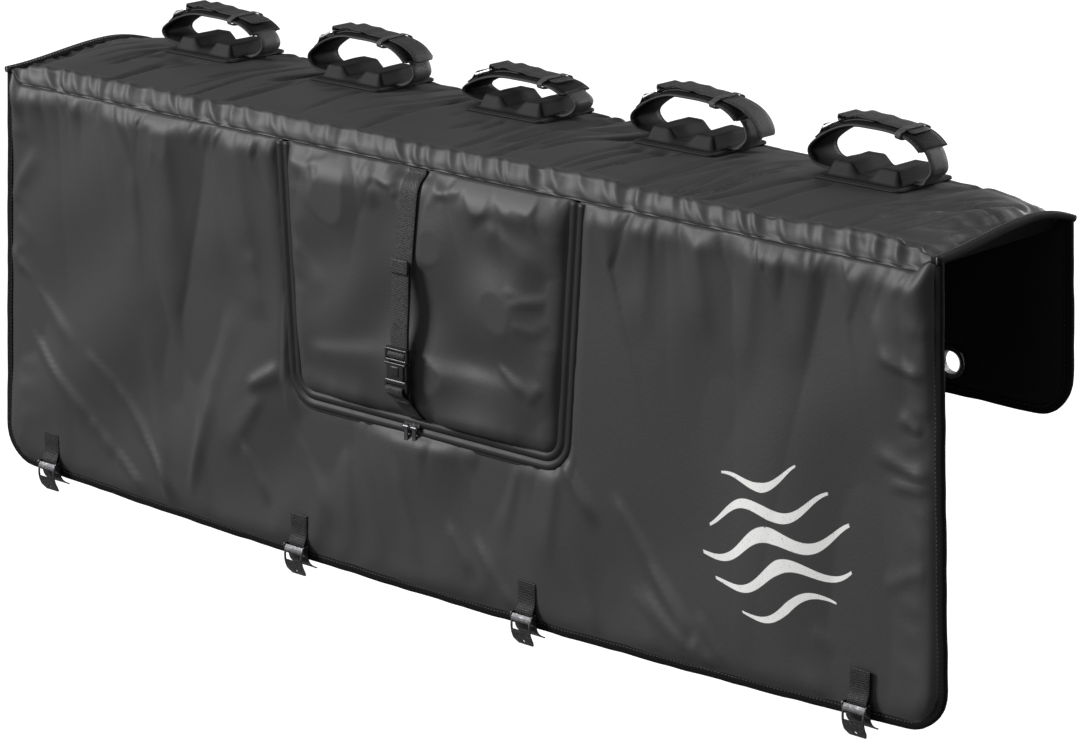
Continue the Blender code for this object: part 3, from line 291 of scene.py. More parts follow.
def rounded(x, y, half_x, half_y, corner):
    """A square-cornered grid drawn in to rounded corners, and its points' distance from the edge."""
    out_x = np.clip((np.abs(x) - half_x + corner) / corner, 0, None)
    out_y = np.clip((np.abs(y) - half_y + corner) / corner, 0, None)
    out_x, out_y = out_x * np.sqrt(1 - out_y**2 / 2), out_y * np.sqrt(1 - out_x**2 / 2)
    x = np.sign(x) * (np.minimum(np.abs(x), half_x - corner) + corner * out_x)
    y = np.sign(y) * (np.minimum(np.abs(y), half_y - corner) + corner * out_y)
    return x, y, corner * (1 - np.hypot(out_x, out_y))


def cut_panel(half_top, half_foot, drop, corner, spacing, fine_rows):
    """A grid over a panel cut with two rounded foot corners: x, z, and the distance from its free edge.
    Its rows lie closer together near the seam, and drift apart by fine_rows below it."""
    columns = 2 * round(half_foot / spacing) + 1
    rows = round(drop / (spacing * fine_rows)) + 1
    down = np.linspace(0, 1, rows)
    down = drop * (down / fine_rows + (1 - 1 / fine_rows) * down**2)
    x, depth = np.meshgrid(np.linspace(-half_foot, half_foot, columns), down)
    x, depth, edge = rounded(x, depth, half_foot, drop, corner)
    return x * (half_top + (half_foot - half_top) * depth / drop) / half_foot, -depth, edge


def folds(x, z, strokes):
    """Height of soft folds that widen from their first point to their second."""
    height = np.zeros_like(x)
    for x0, z0, x1, z1, width, rise in strokes:
        run = np.array((x1 - x0, z1 - z0))
        length = np.hypot(*run)
        along = ((x - x0) * run[0] + (z - z0) * run[1]) / length**2
        off = ((x - x0) * run[1] - (z - z0) * run[0]) / length
        wide = width * (0.7 + 0.5 * np.clip(along, 0, 1)) * np.where(off > 0, 1.25, 0.75)
        height += rise * ridge(off, wide) * eased((along + 0.2) / 0.35) * eased((1.2 - along) / 0.5)
    return height


def gathers(run, depth, seed, pitch, reach, rise, lean=0.5):
    """Height of small bulges where cloth is gathered on a seam, at a place along it and a depth off it."""
    chance = np.random.default_rng(seed)
    height = np.zeros_like(run)
    place = run.min()
    while place < run.max():
        place += pitch * chance.uniform(0.55, 1.5)
        length = reach * chance.uniform(0.4, 1.6)
        width = pitch * chance.uniform(0.2, 0.42)
        tilt = chance.uniform(-lean, lean)
        size = rise * chance.uniform(0.3, 1.3)
        near = np.abs(run - place) < 4 * width + lean * length
        share = depth[near] / length
        bulge = ridge(run[near] - place - tilt * depth[near], width * (0.7 + share))
        height[near] += size * bulge * eased(share / 0.22) * eased((1 - share) / 0.8)
    return height


def puckers(run, depth, seed, pitch, reach, rise, lean=0.4, soft=0.9):
    """Height of rounded bulges with narrow creases between them, which run off a seam and die away."""
    chance = np.random.default_rng(seed)
    count = int((run.max() - run.min()) / pitch) + 6
    steps = chance.uniform(0.45, 1.6, count) * pitch
    creases = run.min() - 3 * pitch + np.cumsum(steps)
    tilts = chance.uniform(-lean, lean, count)
    sizes = chance.uniform(0.35, 1.25, count) * rise * np.minimum(steps / pitch, 1.2)
    reaches = chance.uniform(0.5, 1.4, count) * reach * np.minimum(steps / pitch, 1.3)
    height = np.zeros_like(run)
    for index in range(1, count):
        left = creases[index - 1] + tilts[index - 1] * depth
        right = creases[index] + tilts[index] * depth
        share = (run - left) / np.maximum(right - left, 0.3 * pitch)
        inside = (share > 0) & (share < 1) & (depth < 2.2 * reaches[index])
        bulge = (4 * share[inside] * (1 - share[inside])) ** soft
        fade = ridge(depth[inside], reaches[index])
        height[inside] = np.maximum(height[inside], sizes[index] * bulge * fade)
    return height


def billows(x, z, seed, length, rise):
    """Height of broad uneven swells with crests about this length apart."""
    chance = np.random.default_rng(seed)
    height = np.zeros_like(x)
    for _ in range(9):
        angle = chance.uniform(0, math.tau)
        wave = length * chance.uniform(0.7, 1.8)
        shift = chance.uniform(0, math.tau)
        height += np.sin((x * math.cos(angle) + z * math.sin(angle)) * math.tau / wave + shift)
    return height * rise / 3


def swell(edge, width):
    """Share of the full thickness at a distance from the sewn edge, round like a pillow's."""
    share = np.clip(edge / width, 0, 1)
    return np.sqrt(1 - (1 - share) ** 2)


def pinched(depth, width):
    """Share of the full thickness below a top seam: the cloth comes out of it in a slope that flattens."""
    return 0.25 + 0.75 * np.sin(np.clip(depth / width, 0, 1) * np.pi / 2)


def fitted(piece, node, body="pad"):
    """Puts a finished piece in the place of its CAD node, if it has one, and on the body it moves with."""
    if node:
        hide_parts(node)
    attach(piece, body)


def quilted(name, outer, inner, kept, cover, lining):
    """A closed piece between two grids of points: cover on the outer side, lining on the inner side."""
    rows, columns = kept.shape
    count = (rows + 1) * (columns + 1)
    index = np.arange(count).reshape(rows + 1, columns + 1)
    quads = np.stack([index[:-1, :-1], index[:-1, 1:], index[1:, 1:], index[1:, :-1]], -1)
    faces = quads[kept]
    padded = np.pad(kept, 1)
    rims = []
    for shift, (first, second) in {(-1, 0): (1, 0), (0, 1): (2, 1), (1, 0): (3, 2), (0, -1): (0, 3)}.items():
        beyond = padded[1 + shift[0] : 1 + shift[0] + rows, 1 + shift[1] : 1 + shift[1] + columns]
        ends = quads[kept & ~beyond]
        a, b = ends[:, first], ends[:, second]
        rims.append(np.stack([a, b, b + count, a + count], -1))
    sides = np.concatenate(rims)
    every = np.concatenate([faces[:, ::-1], faces + count, sides[:, ::-1]])
    points = np.concatenate([outer.reshape(-1, 3), inner.reshape(-1, 3)])
    used, place = np.unique(every, return_inverse=True)
    mesh = bpy.data.meshes.new(name)
    mesh.from_pydata(points[used].tolist(), [], place.reshape(every.shape).tolist())
    mesh.polygons.foreach_set("material_index", np.repeat([0, 1, 0], [len(faces), len(faces), len(sides)]))
    mesh.polygons.foreach_set("use_smooth", np.ones(len(every), bool))
    piece = bpy.data.objects.new(name, mesh)
    mesh.materials.append(cover)
    mesh.materials.append(lining)
    scene.collection.objects.link(piece)
    return piece


def window_distance(x, z):
    """Distance outside the zip's line round the window; negative inside."""
    lean = (WINDOW_TOP - WINDOW_FOOT) / WINDOW_DROP
    out = np.abs(x) - (WINDOW_TOP + lean * z) + WINDOW_CORNER
    down = -z - WINDOW_DROP + WINDOW_CORNER
    beyond = np.hypot(np.maximum(out, 0), np.maximum(down, 0))
    return beyond + np.minimum(np.maximum(out, down), 0) - WINDOW_CORNER


def coated(name, ink=None):
    """Black coated cloth with a fine grain. A function given as ink returns the share of print on it."""
    material, shade, shader = finish(name, Specular_IOR_Level=0.5)
    place = shade.place()
    grain = shade.noise(place, 0.0011, 3)
    cloud = shade.noise(place, 0.09, 3)
    colour = (cloud * 0.5 + grain * 0.5).mixed(grey(0.019, 1.03), grey(0.031, 1.03))
    if ink:
        colour = ink(shade, place).mixed(colour, grey(0.72, 0.98))
    feed(
        shader,
        Base_Color=colour,
        Roughness=0.52 + cloud * 0.08 + grain * 0.04,
        Normal=shade.bump(grain + shade.noise(place, 0.006) * 0.8, 0.00016),
    )
    return material


PRINT_X, PRINT_Z, PRINT_PITCH = 0.484, -0.312, 0.034
PRINT_LEAN = (math.cos(0.30), math.sin(0.30))
# Half length and half thickness of each wave, from the lowest up
PRINT_WAVES = [(0.060, 0.0050), (0.088, 0.0066), (0.098, 0.0078), (0.082, 0.0062), (0.052, 0.0046)]
WAVE_RUN, WAVE_SHIFT, WAVE_HEIGHT = 0.118, 0.021, 0.020


def rising_waves(shade, place):
    """Five off-white waves, screen-printed aslant on the lower right of the panel."""
    x, _, z = shade.axes(place)
    along = (x - PRINT_X) * PRINT_LEAN[0] + (z - PRINT_Z) * PRINT_LEAN[1]
    across = (z - PRINT_Z) * PRINT_LEAN[0] - (x - PRINT_X) * PRINT_LEAN[1]
    ink = 0.0
    for number, (length, thick) in enumerate(PRINT_WAVES):
        level = (number - 2) * PRINT_PITCH
        curl = (along + WAVE_SHIFT * number).wave(WAVE_RUN) * WAVE_HEIGHT - WAVE_HEIGHT / 2
        taper = thick * (1.15 - along.math("ABSOLUTE", along) * (0.9 / length))
        line = ((across - level - curl) / taper).band(-1.0, 1.0, 0.05)
        ink = line * along.band(-length, length, 0.0006) + ink
    worn = shade.noise(place, 0.0016).band(0.30, 2.0, 0.02)
    return ink * worn


cover = coated("coated_cloth")
printed_cover = coated("printed_cloth", rising_waves)

lining, shade, shader = finish("lining_cloth", Specular_IOR_Level=0.2)
place = shade.place()
across, _, down = shade.axes(place)
weave = across.wave(0.0012) * down.wave(0.0012)
feed(
    shader,
    Base_Color=shade.noise(place, 0.03).mixed(grey(0.004), grey(0.009)),
    Roughness=0.75 + weave * 0.15,
    Normal=shade.bump(weave, 0.0002),
)

FRONT_GRID, FRONT_FINE_ROWS, FOLD_STRENGTH = 0.0030, 1.55, 1.6
# Puckers off the top seam: their chance seed, pitch, reach, rise and lean
SEAM_PUCKERS = [
    (11, 0.017, 0.020, 0.0042, 0.8),
    (12, 0.038, 0.060, 0.0044, 0.5),
    (13, 0.090, 0.180, 0.0056, 0.25),
]


def corner_rise(x, depth):
    """How far the ends of a hanging panel's top edge are drawn up, to meet the top's bound ends."""
    return CORNER_RISE * eased((np.abs(x) - SEAM_HALF + 0.030) / 0.022) * eased(1 - depth / 0.050)


x, z, edge = cut_panel(SEAM_HALF, HEM_HALF, FRONT_DROP, FRONT_CORNER, FRONT_GRID, FRONT_FINE_ROWS)
depth = -z
z = z - HEM_SAG * eased(2 * depth / FRONT_DROP - 1) * (1 - (x / HEM_HALF) ** 2)
off_window = window_distance(x, z)
relief = FOLD_STRENGTH * folds(x, z, FRONT_FOLDS)
for crease in SEAM_PUCKERS:
    relief += puckers(x, depth, *crease)
# Gathers off the hem and off the bound sides, puckers below the window, and broad swells all over
relief += gathers(x, FRONT_DROP - depth, 14, 0.060, 0.090, 0.0020)
relief += gathers(depth, SEAM_HALF - np.abs(x), 15, 0.030, 0.045, 0.0012)
relief += puckers(x, np.clip(off_window, 0, None), 16, 0.024, 0.026, 0.0036) * (np.abs(x) < WINDOW_TOP)
relief += billows(x, z, 17, 0.18, 0.0036)
full = swell(edge - TAPE_WIDTH + 0.001, 0.018) * pinched(depth, 0.022) * swell(off_window - 0.0090, 0.015)
z = z + corner_rise(x, depth)
front = -(SEWN_THICK / 2 + full * (FRONT_THICK / 2 - SEWN_THICK / 2 + np.clip(relief, -0.003, 0.012)))
middle = FRONT_FACE + FRONT_THICK / 2
outer = np.stack([x, middle + front, z], -1)
back = SEWN_THICK / 2 + full * (FRONT_THICK - SEWN_THICK) / 2 * 0.9
inner = np.stack([x, middle + back, z], -1)
centre = (off_window[:-1, :-1] + off_window[1:, 1:]) / 2
front_panel = quilted("front_cover", outer, inner, centre > 0.001, printed_cover, lining)
fitted(front_panel, "front_panel")


# Top panel
# The same coated cloth over thick foam, laid over the tailgate's edge: a puffy front roll, a crowned
# top that carries the cradles, a rear roll, and two thin ends that are gathered into their tape.

TOP_HALF_DEPTH = 0.1167
FOLD_HEIGHT, CROWN_FRONT, CROWN_MIDDLE, CROWN_REAR = 0.0196, 0.005, 0.0175, 0.008
SEAT_FRONT, SEAT_REAR = -0.002, 0.104
END_CROWN, END_PEAK, END_TAPER, END_TUCK, END_BOUND = 0.013, 0.045, 0.100, 0.025, 0.0093
ROLL_ROWS, TOP_ROWS, TOP_SPACING = 12, 62, 0.0028
ROLL_LEAN, ROLL_BULGE, ROLL_TUCK, ROLL_LIP, LIP_HOLLOW = 0.011, 0.0030, 0.0028, 0.0022, 0.0014
END_WELT, WELT_PLACE, WELT_WIDTH = 0.0056, 0.019, 0.008
WRINKLES, WRINKLE_STRENGTH = 90, 3.6
CRADLE_PITCH = 0.2405
CRADLE_X = [CRADLE_PITCH * place for place in (-2, -1, 0, 1, 2)]
CRADLE_Y, BASE_LENGTH, BASE_DEPTH = 0.054, 0.112, 0.096


def raised(points, height):
    """The grid moved out along its own normals."""
    across = np.gradient(points, axis=1)
    down = np.gradient(points, axis=0)
    normal = np.cross(down, across)
    normal /= np.linalg.norm(normal, axis=-1, keepdims=True) + 1e-12
    return points + normal * height[..., None]


def top_heights(x, y):
    """Heights of the top panel's upper and lower faces."""
    half = TOP_HALF_DEPTH
    front = CROWN_FRONT + (CROWN_MIDDLE - CROWN_FRONT) * eased((y + half) / (SEAT_FRONT + half))
    behind_seat = np.clip(y - SEAT_REAR, 0, None) / (half - SEAT_REAR)
    rear = CROWN_MIDDLE + (CROWN_REAR - CROWN_MIDDLE) * behind_seat**2
    middle = np.where(y < SEAT_FRONT, front, rear)
    end_front = END_CROWN * eased((y + half) / (END_PEAK + half))
    end_rear = END_CROWN * (1 - (np.clip(y - END_PEAK, 0, None) / (half - END_PEAK)) ** 2)
    end = np.where(y < END_PEAK, end_front, end_rear)
    from_end = SEAM_HALF - np.abs(x)
    share = eased(from_end / END_TAPER)
    upper = FOLD_HEIGHT + share * middle + (1 - share) * end
    edge = FOLD_HEIGHT + end - 0.004
    thin = eased((END_TUCK - from_end) / (END_TUCK - END_BOUND))
    flat = eased((END_BOUND + 0.004 - from_end) / 0.004)
    return upper + (edge + 0.002 - upper) * flat, thin * (edge - 0.002)


# The rows run round the panel: 0 to 1 up the front roll, 1 to 2 over the top, 2 to 3 down the rear roll
columns = 2 * round(SEAM_HALF / TOP_SPACING) + 1
total_rows = 2 * ROLL_ROWS + TOP_ROWS
run = np.linspace(-SEAM_HALF, SEAM_HALF, columns)
turn = np.concatenate([
    np.linspace(0, 1, ROLL_ROWS, endpoint=False),
    np.linspace(1, 2, TOP_ROWS, endpoint=False),
    np.linspace(2, 3, ROLL_ROWS + 1),
])
x, turn = np.meshgrid(run, turn)
face = np.clip(turn - 1, 0, 1)
rise = np.where(turn < 1, turn, np.where(turn > 2, 3 - turn, 1.0))
y = TOP_HALF_DEPTH * (2 * face - 1)
upper, lower = top_heights(x, y)
body = upper - lower
stout = np.clip(body / 0.024, 0, 1)
on_roll = rise < 1
leant = ROLL_LEAN * stout * rise**1.5
back = np.minimum(face, 1 - face) * 2 * TOP_HALF_DEPTH
tuck = ROLL_TUCK * np.clip(1 - rise / 0.15, 0, 1) ** 2
bulge = (np.sin(np.pi * np.clip(rise, 0, 1) * 0.9) * ROLL_BULGE - tuck) * stout
roll_y = np.sign(y) * (TOP_HALF_DEPTH - leant + bulge)
face_y = (TOP_HALF_DEPTH - ROLL_LEAN * stout) * (2 * face - 1)
y = np.where(on_roll, roll_y, face_y)
face_lip = ROLL_LIP * ridge(back, 0.006) - LIP_HOLLOW * ridge(back - 0.018, 0.009)
lip = np.where(on_roll, ROLL_LIP * rise**3, face_lip)
z = lower + body * np.where(on_roll, rise, 1) + lip * stout
z = np.maximum(z, 0.0003)
base = np.stack([x, y, z], -1)

chance = np.random.default_rng(21)
wrinkles = []
for _ in range(WRINKLES):
    from_x, from_y = chance.uniform(-0.67, 0.64), chance.uniform(-0.100, 0.030)
    angle = math.radians(chance.uniform(52, 82))
    length = chance.uniform(0.05, 0.17)
    wrinkles.append((from_x, from_y, from_x + length * math.cos(angle), from_y + length * math.sin(angle),
                     chance.uniform(0.0026, 0.0070), chance.uniform(0.0005, 0.0016)))
depth = y + TOP_HALF_DEPTH
from_end = SEAM_HALF - np.abs(x)
relief = WRINKLE_STRENGTH * folds(x, y, wrinkles) + billows(x, y, 22, 0.16, 0.0014)
relief += puckers(depth, np.clip(from_end - END_BOUND, 0, None), 25, 0.015, 0.026, 0.0046, 0.4)
relief += END_WELT * ridge(from_end - WELT_PLACE, WELT_WIDTH)
pressed = np.ones_like(x)
for centre in CRADLE_X:
    gap = np.maximum(np.abs(x - centre) - BASE_LENGTH / 2, np.abs(y - CRADLE_Y) - BASE_DEPTH / 2)
    pressed = np.minimum(pressed, eased((gap + 0.001) / 0.016))
relief = np.where(rise < 1, 0, relief * pressed - 0.0004 * (1 - pressed))
# The rolls' puckers fade with the distance down a roll, and soon after it on the top
down = np.where(turn < 1, 1 - turn, np.where(turn > 2, turn - 2, -face * (1 - face) * 12)) * 0.022
fall = np.clip(down, 0, None)
roll = puckers(x - 0.75 * down, fall, 26, 0.026, 0.090, 0.0034, 0.45, 1.3)
roll += puckers(x - 0.4 * down, fall, 27, 0.015, 0.040, 0.0007, 0.6, 1.2)
relief += roll * np.where(on_roll, swell(rise, 0.35), eased(1 + down / 0.012))
relief *= swell(from_end - 0.004, 0.010)
outer = raised(base, np.clip(relief, -0.0015, 0.009))
inner_y = TOP_HALF_DEPTH * (turn / 1.5 - 1) * 0.985
inner = np.stack([x, inner_y, top_heights(x, inner_y)[1] + 0.0005], -1)
kept = np.ones((total_rows, columns - 1), bool)
top_panel = quilted("top_cover", outer, inner, kept, cover, lining)
fitted(top_panel, "top_panel")


# Rear flap
# A shorter padded flap that hangs inside the truck's bed, with two eyelets near its foot corners.
# Its outer face is coated cloth, and its inner face against the tailgate is the black lining.

REAR_FACE = 0.1167
REAR_DROP, REAR_THICK = 0.1925, 0.010
EYELETS = [(-0.535, -0.1594), (0.535, -0.1594)]
EYELET_CUT = 0.0150
REAR_GRID, REAR_FINE_ROWS = 0.0042, 1.3

flare = (HEM_HALF - SEAM_HALF) * REAR_DROP / FRONT_DROP
x, z, edge = cut_panel(SEAM_HALF, SEAM_HALF + flare, REAR_DROP, FRONT_CORNER, REAR_GRID, REAR_FINE_ROWS)
depth = -z
off_eyelet = np.min([np.hypot(x - ex, z - ez) for ex, ez in EYELETS], axis=0)
relief = puckers(x, depth, 31, 0.020, 0.020, 0.0036) + puckers(x, depth, 32, 0.055, 0.070, 0.0036, 0.3)
relief += gathers(x, REAR_DROP - depth, 33, 0.040, 0.050, 0.0014) + billows(x, z, 34, 0.15, 0.0012)
full = swell(edge - TAPE_WIDTH + 0.001, 0.016) * swell(depth + 0.001, 0.020)
full = full * swell(off_eyelet - 0.014, 0.014)
relief = np.clip(relief, -0.002, 0.006)
middle = REAR_FACE - REAR_THICK / 2
face = SEWN_THICK / 2 + full * ((REAR_THICK - SEWN_THICK) / 2 + relief)
z = z + corner_rise(x, depth)
full = full * swell(off_eyelet - 0.0185, 0.012)
inside = SEWN_THICK / 2 + full * ((REAR_THICK - SEWN_THICK) / 2 * 0.9 + 0.3 * relief)
outer = np.stack([-x, middle + face, z], -1)
inner = np.stack([-x, middle - inside, z], -1)
centre = (off_eyelet[:-1, :-1] + off_eyelet[1:, 1:]) / 2
rear_flap = quilted("rear_cover", outer, inner, centre > EYELET_CUT, cover, lining)
fitted(rear_flap, "rear_flap")


# Window flap
# A puffy flap in the front panel's window, built closed; the real one folds down when its zip and buckle
# open.
# It stands proud of the panel, falls steeply into the zip, and is creased by the strap across it.

FLAP_GAP = 0.006
FLAP_FACE, FLAP_BACK, FLAP_EDGE_FACE, FLAP_EDGE_BACK = -0.1267, -0.1097, -0.1127, -0.1087
FLAP_GRID, FLAP_FINE_ROWS, FLAP_FOLD_STRENGTH, FLAP_CROWN = 0.0026, 1.2, 1.7, 0.003
STRAP_X = -0.011
# The strap's route and the socket loop's in side view: y, z. Both dent the flap where they run down on it.
STRAP_LINE = [
    (-0.1138, -0.0012), (-0.1150, -0.0061), (-0.1190, -0.0095), (-0.1232, -0.0130), (-0.1262, -0.0170),
    (-0.1290, -0.0250), (-0.1316, -0.0450), (-0.1352, -0.0740), (-0.1402, -0.1242), (-0.1436, -0.1720),
    (-0.1441, -0.1945), (-0.1445, -0.1990), (-0.1460, -0.2032), (-0.1486, -0.2052), (-0.1508, -0.2042),
    (-0.1514, -0.2017), (-0.1506, -0.1994), (-0.1484, -0.1984), (-0.1466, -0.1966), (-0.1463, -0.1936),
    (-0.1462, -0.1860), (-0.1456, -0.1700), (-0.1441, -0.1480), (-0.1436, -0.1250), (-0.1430, -0.1080),
    (-0.1432, -0.0990), (-0.1440, -0.0968), (-0.1452, -0.0976), (-0.1453, -0.1010), (-0.1456, -0.1120),
]
SOCKET_LINE = [
    (-0.1153, -0.2852), (-0.1158, -0.2820), (-0.1180, -0.2792), (-0.1226, -0.2774), (-0.1275, -0.2714),
    (-0.1320, -0.2660), (-0.1406, -0.2558), (-0.1430, -0.2433), (-0.1438, -0.2373), (-0.1474, -0.2367),
    (-0.1516, -0.2367), (-0.1547, -0.2386), (-0.1532, -0.2453), (-0.1446, -0.2518), (-0.1427, -0.2568),
]
FLAP_FOLDS = [
    (-0.080, -0.001, -0.064, -0.045, 0.010, 0.0022),
    (-0.020, -0.010, -0.045, -0.022, 0.006, 0.0026),
    (-0.045, -0.022, -0.070, -0.014, 0.006, 0.0020),
    (-0.017, -0.020, -0.037, -0.031, 0.006, 0.0022),
    (0.012, -0.003, 0.035, -0.020, 0.007, 0.0030),
    (0.035, -0.020, 0.064, -0.004, 0.008, 0.0030),
    (0.074, -0.001, 0.099, -0.033, 0.011, 0.0036),
    (0.140, 0.007, 0.168, -0.014, 0.012, 0.0026),
    (0.105, -0.044, 0.172, -0.081, 0.020, 0.0030),
    (0.001, -0.218, 0.153, -0.220, 0.020, 0.0034),
    (-0.155, -0.228, -0.049, -0.215, 0.018, 0.0026),
    (0.122, -0.195, 0.153, -0.215, 0.006, 0.0016),
    (0.140, -0.121, 0.184, -0.111, 0.007, 0.0009),
    (0.144, -0.144, 0.175, -0.150, 0.007, 0.0007),
    (0.134, -0.107, 0.172, -0.119, 0.007, 0.0007),
    (-0.117, -0.019, -0.132, -0.069, 0.022, 0.0028),
    (-0.187, -0.113, -0.143, -0.157, 0.020, 0.0016),
    (-0.196, -0.016, -0.162, -0.022, 0.008, 0.0018),
    (-0.165, -0.016, -0.117, -0.004, 0.007, 0.0020),
    (0.175, -0.209, 0.157, -0.225, 0.010, 0.0014),
    (0.009, -0.070, 0.025, -0.097, 0.014, 0.0014),
]

lean = (WINDOW_TOP - WINDOW_FOOT) / WINDOW_DROP
flap_half, flap_drop, flap_corner = WINDOW_TOP - FLAP_GAP, WINDOW_DROP - FLAP_GAP, WINDOW_CORNER - FLAP_GAP
flap_foot = flap_half - lean * flap_drop
x, z, edge = cut_panel(flap_half, flap_foot, flap_drop, flap_corner, FLAP_GRID, FLAP_FINE_ROWS)
depth = -z
from_side = (flap_half + lean * z) - np.abs(x)
edge = np.where(edge < 0.0215, edge, np.minimum(from_side, flap_drop - depth))
relief = FLAP_FOLD_STRENGTH * folds(x, z, FLAP_FOLDS) + billows(x, z, 44, 0.13, 0.0044)
relief += puckers(x, depth, 41, 0.020, 0.020, 0.0030, 0.8) + puckers(x, depth, 42, 0.060, 0.070, 0.0044, 0.5)
relief += FLAP_CROWN * np.cos(np.clip(x / 0.21, -1, 1) * math.pi / 2)
relief += gathers(depth, from_side, 43, 0.026, 0.040, 0.0008)
relief += gathers(x, flap_drop - depth, 45, 0.034, 0.040, 0.0013)
over_flap = np.array(STRAP_LINE[:10] + SOCKET_LINE[7:1:-1])
strap_y = np.interp(depth, -over_flap[:, 1], over_flap[:, 0])
foot = eased((depth - 0.225) / 0.035)
soft = 0.008 + 0.020 * eased(1 - depth / 0.060) + 0.012 * foot
under_strap = eased((0.0135 + 0.012 * foot + soft - np.abs(x - STRAP_X)) / soft)
full = swell(edge - 0.0032, 0.019) * pinched(depth, 0.034)
front = FLAP_EDGE_FACE + (FLAP_FACE - FLAP_EDGE_FACE - np.clip(relief, -0.004, 0.010)) * full
front += under_strap * np.clip(strap_y + 0.0022 - front, 0, None)
back = FLAP_EDGE_BACK + (FLAP_BACK - FLAP_EDGE_BACK) * full
outer = np.stack([x, front, z], -1)
inner = np.stack([x, back, z], -1)
kept = np.ones((x.shape[0] - 1, x.shape[1] - 1), bool)
window_flap = quilted("window_cover", outer, inner, kept, cover, lining)
fitted(window_flap, "window_flap")


# Binding tape
# Folded woven tape sewn over the raw edges of the front panel, of the rear flap and of the top's two
# ends. It runs slightly wavy, as sewn tape does, with a stitch line near its inner edge.

TAPE_HALF = 0.0037


def smooth_line(points, steps):
    """A smooth line through the given points."""
    points = np.asarray(points, float)
    before = np.concatenate([points[:1], points[:-2]])
    after = np.concatenate([points[2:], points[-1:]])
    start, end = points[:-1], points[1:]
    share = (np.arange(steps) / steps)[None, :, None]
    start, end, before, after = (each[:, None] for each in (start, end, before, after))
    line = 0.5 * (
        2 * start
        + (end - before) * share
        + (2 * before - 5 * start + 4 * end - after) * share**2
        + (3 * start - before - 3 * end + after) * share**3
    )
    return np.concatenate([line.reshape(-1, points.shape[1]), points[-1:]])


def distances(path):
    """Distance along the path at each of its points."""
    return np.concatenate([[0], np.cumsum(np.linalg.norm(np.diff(path, axis=0), axis=1))])


def evened(path, spacing):
    """The same path with points at an even spacing."""
    run = distances(path)
    at = np.linspace(0, run[-1], max(2, round(run[-1] / spacing) + 1))
    return np.stack([np.interp(at, run, path[:, axis]) for axis in range(path.shape[1])], 1)


def swept(name, path, sideways, section, cloth, scale=None):
    """A closed strip of cloth along a path. Its section gives off, along the path's normal, then sideways."""
    path = np.asarray(path, float)
    section = np.asarray(section, float)
    sideways = np.asarray(sideways, float)
    tangent = np.gradient(path, axis=0)
    normal = np.cross(tangent, sideways)
    normal /= np.linalg.norm(normal, axis=1, keepdims=True)
    scale = np.ones(len(path)) if scale is None else scale
    points = (
        path[:, None]
        + normal[:, None] * section[None, :, :1]
        + sideways[None, None] * section[None, :, 1:] * scale[:, None, None]
    )
    rows, columns = points.shape[:2]
    index = np.arange(rows * columns).reshape(rows, columns)
    after = np.roll(index, -1, axis=1)
    faces = np.stack([index[:-1], after[:-1], after[1:], index[1:]], -1).reshape(-1, 4)
    end_faces = [index[0, ::-1].tolist(), index[-1].tolist()]
    mesh = bpy.data.meshes.new(name)
    mesh.from_pydata(points.reshape(-1, 3).tolist(), [], faces.tolist() + end_faces)
    around = distances(section[np.r_[:columns, 0]])
    along = distances(path)
    lie = mesh.uv_layers.new(name="cloth")
    row, column = np.meshgrid(np.arange(rows - 1), np.arange(columns), indexing="ij")
    corners = [(row, column), (row, column + 1), (row + 1, column + 1), (row + 1, column)]
    spread = np.stack([np.stack([around[c], along[r]], -1) for r, c in corners], 2).reshape(-1, 2)
    first_end = [(side, 0) for side in section[::-1, 1]]
    last_end = [(side, along[-1]) for side in section[:, 1]]
    lie.uv.foreach_set("vector", np.concatenate([spread, first_end, last_end]).astype(np.float32).ravel())
    mesh.polygons.foreach_set("use_smooth", np.ones(len(mesh.polygons), bool))
    mesh.validate()
    mesh.materials.append(cloth)
    piece = bpy.data.objects.new(name, mesh)
    scene.collection.objects.link(piece)
    return piece


def tape_finish(name, thread):
    """Ribbed woven tape with a row of stitches near the inner edge of each leg, thread as bright as given."""
    material, shade, shader = finish(name, Specular_IOR_Level=0.12)
    across, along = shade.cloth()
    ribs = along.wave(0.0011)
    legs = across.band(0.0016, 0.0028, 0.0002) + across.band(0.0235, 0.0247, 0.0002)
    stitch = legs * along.wave(0.0046).band(0.40, 2.0, 0.1) * (shade.noise(shade.place(), 0.006) * 1.6)
    feed(
        shader,
        Base_Color=(stitch + ribs * 0.04).mixed(grey(0.004), grey(thread)),
        Roughness=0.68 + ribs * 0.2,
        Normal=shade.bump(ribs * 0.5 + stitch * 1.4, 0.0004),
    )
    return material


tape_cloth = tape_finish("binding_cloth", 0.060)
end_tape_cloth = tape_finish("end_binding_cloth", 0.30)

FOLDED_TAPE = [
    (-TAPE_WIDTH, -TAPE_HALF + 0.0006), (-0.0062, -TAPE_HALF - 0.0001), (-0.0030, -TAPE_HALF),
    (0.0000, -TAPE_HALF + 0.0002), (0.0010, -0.0026), (0.0015, -0.0010), (0.0015, 0.0010), (0.0010, 0.0026),
    (0.0000, TAPE_HALF - 0.0002), (-0.0030, TAPE_HALF), (-0.0062, TAPE_HALF + 0.0001),
    (-TAPE_WIDTH, TAPE_HALF - 0.0006),
]


def taped(name, path, node):
    """Folded tape along a hanging edge. Both of its legs close on the panel between them."""
    path = evened(path, 0.005)
    run = distances(path)
    wave = 0.0003 * np.sin(run * 47) + 0.0002 * np.sin(run * 111 + 1) + 0.0001 * np.sin(run * 189 + 2)
    normal = np.cross(np.gradient(path, axis=0), (0, -1, 0))
    normal /= np.linalg.norm(normal, axis=1, keepdims=True)
    tape = swept(name, path + normal * wave[:, None], (0, -1, 0), FOLDED_TAPE, tape_cloth)
    fitted(tape, node)


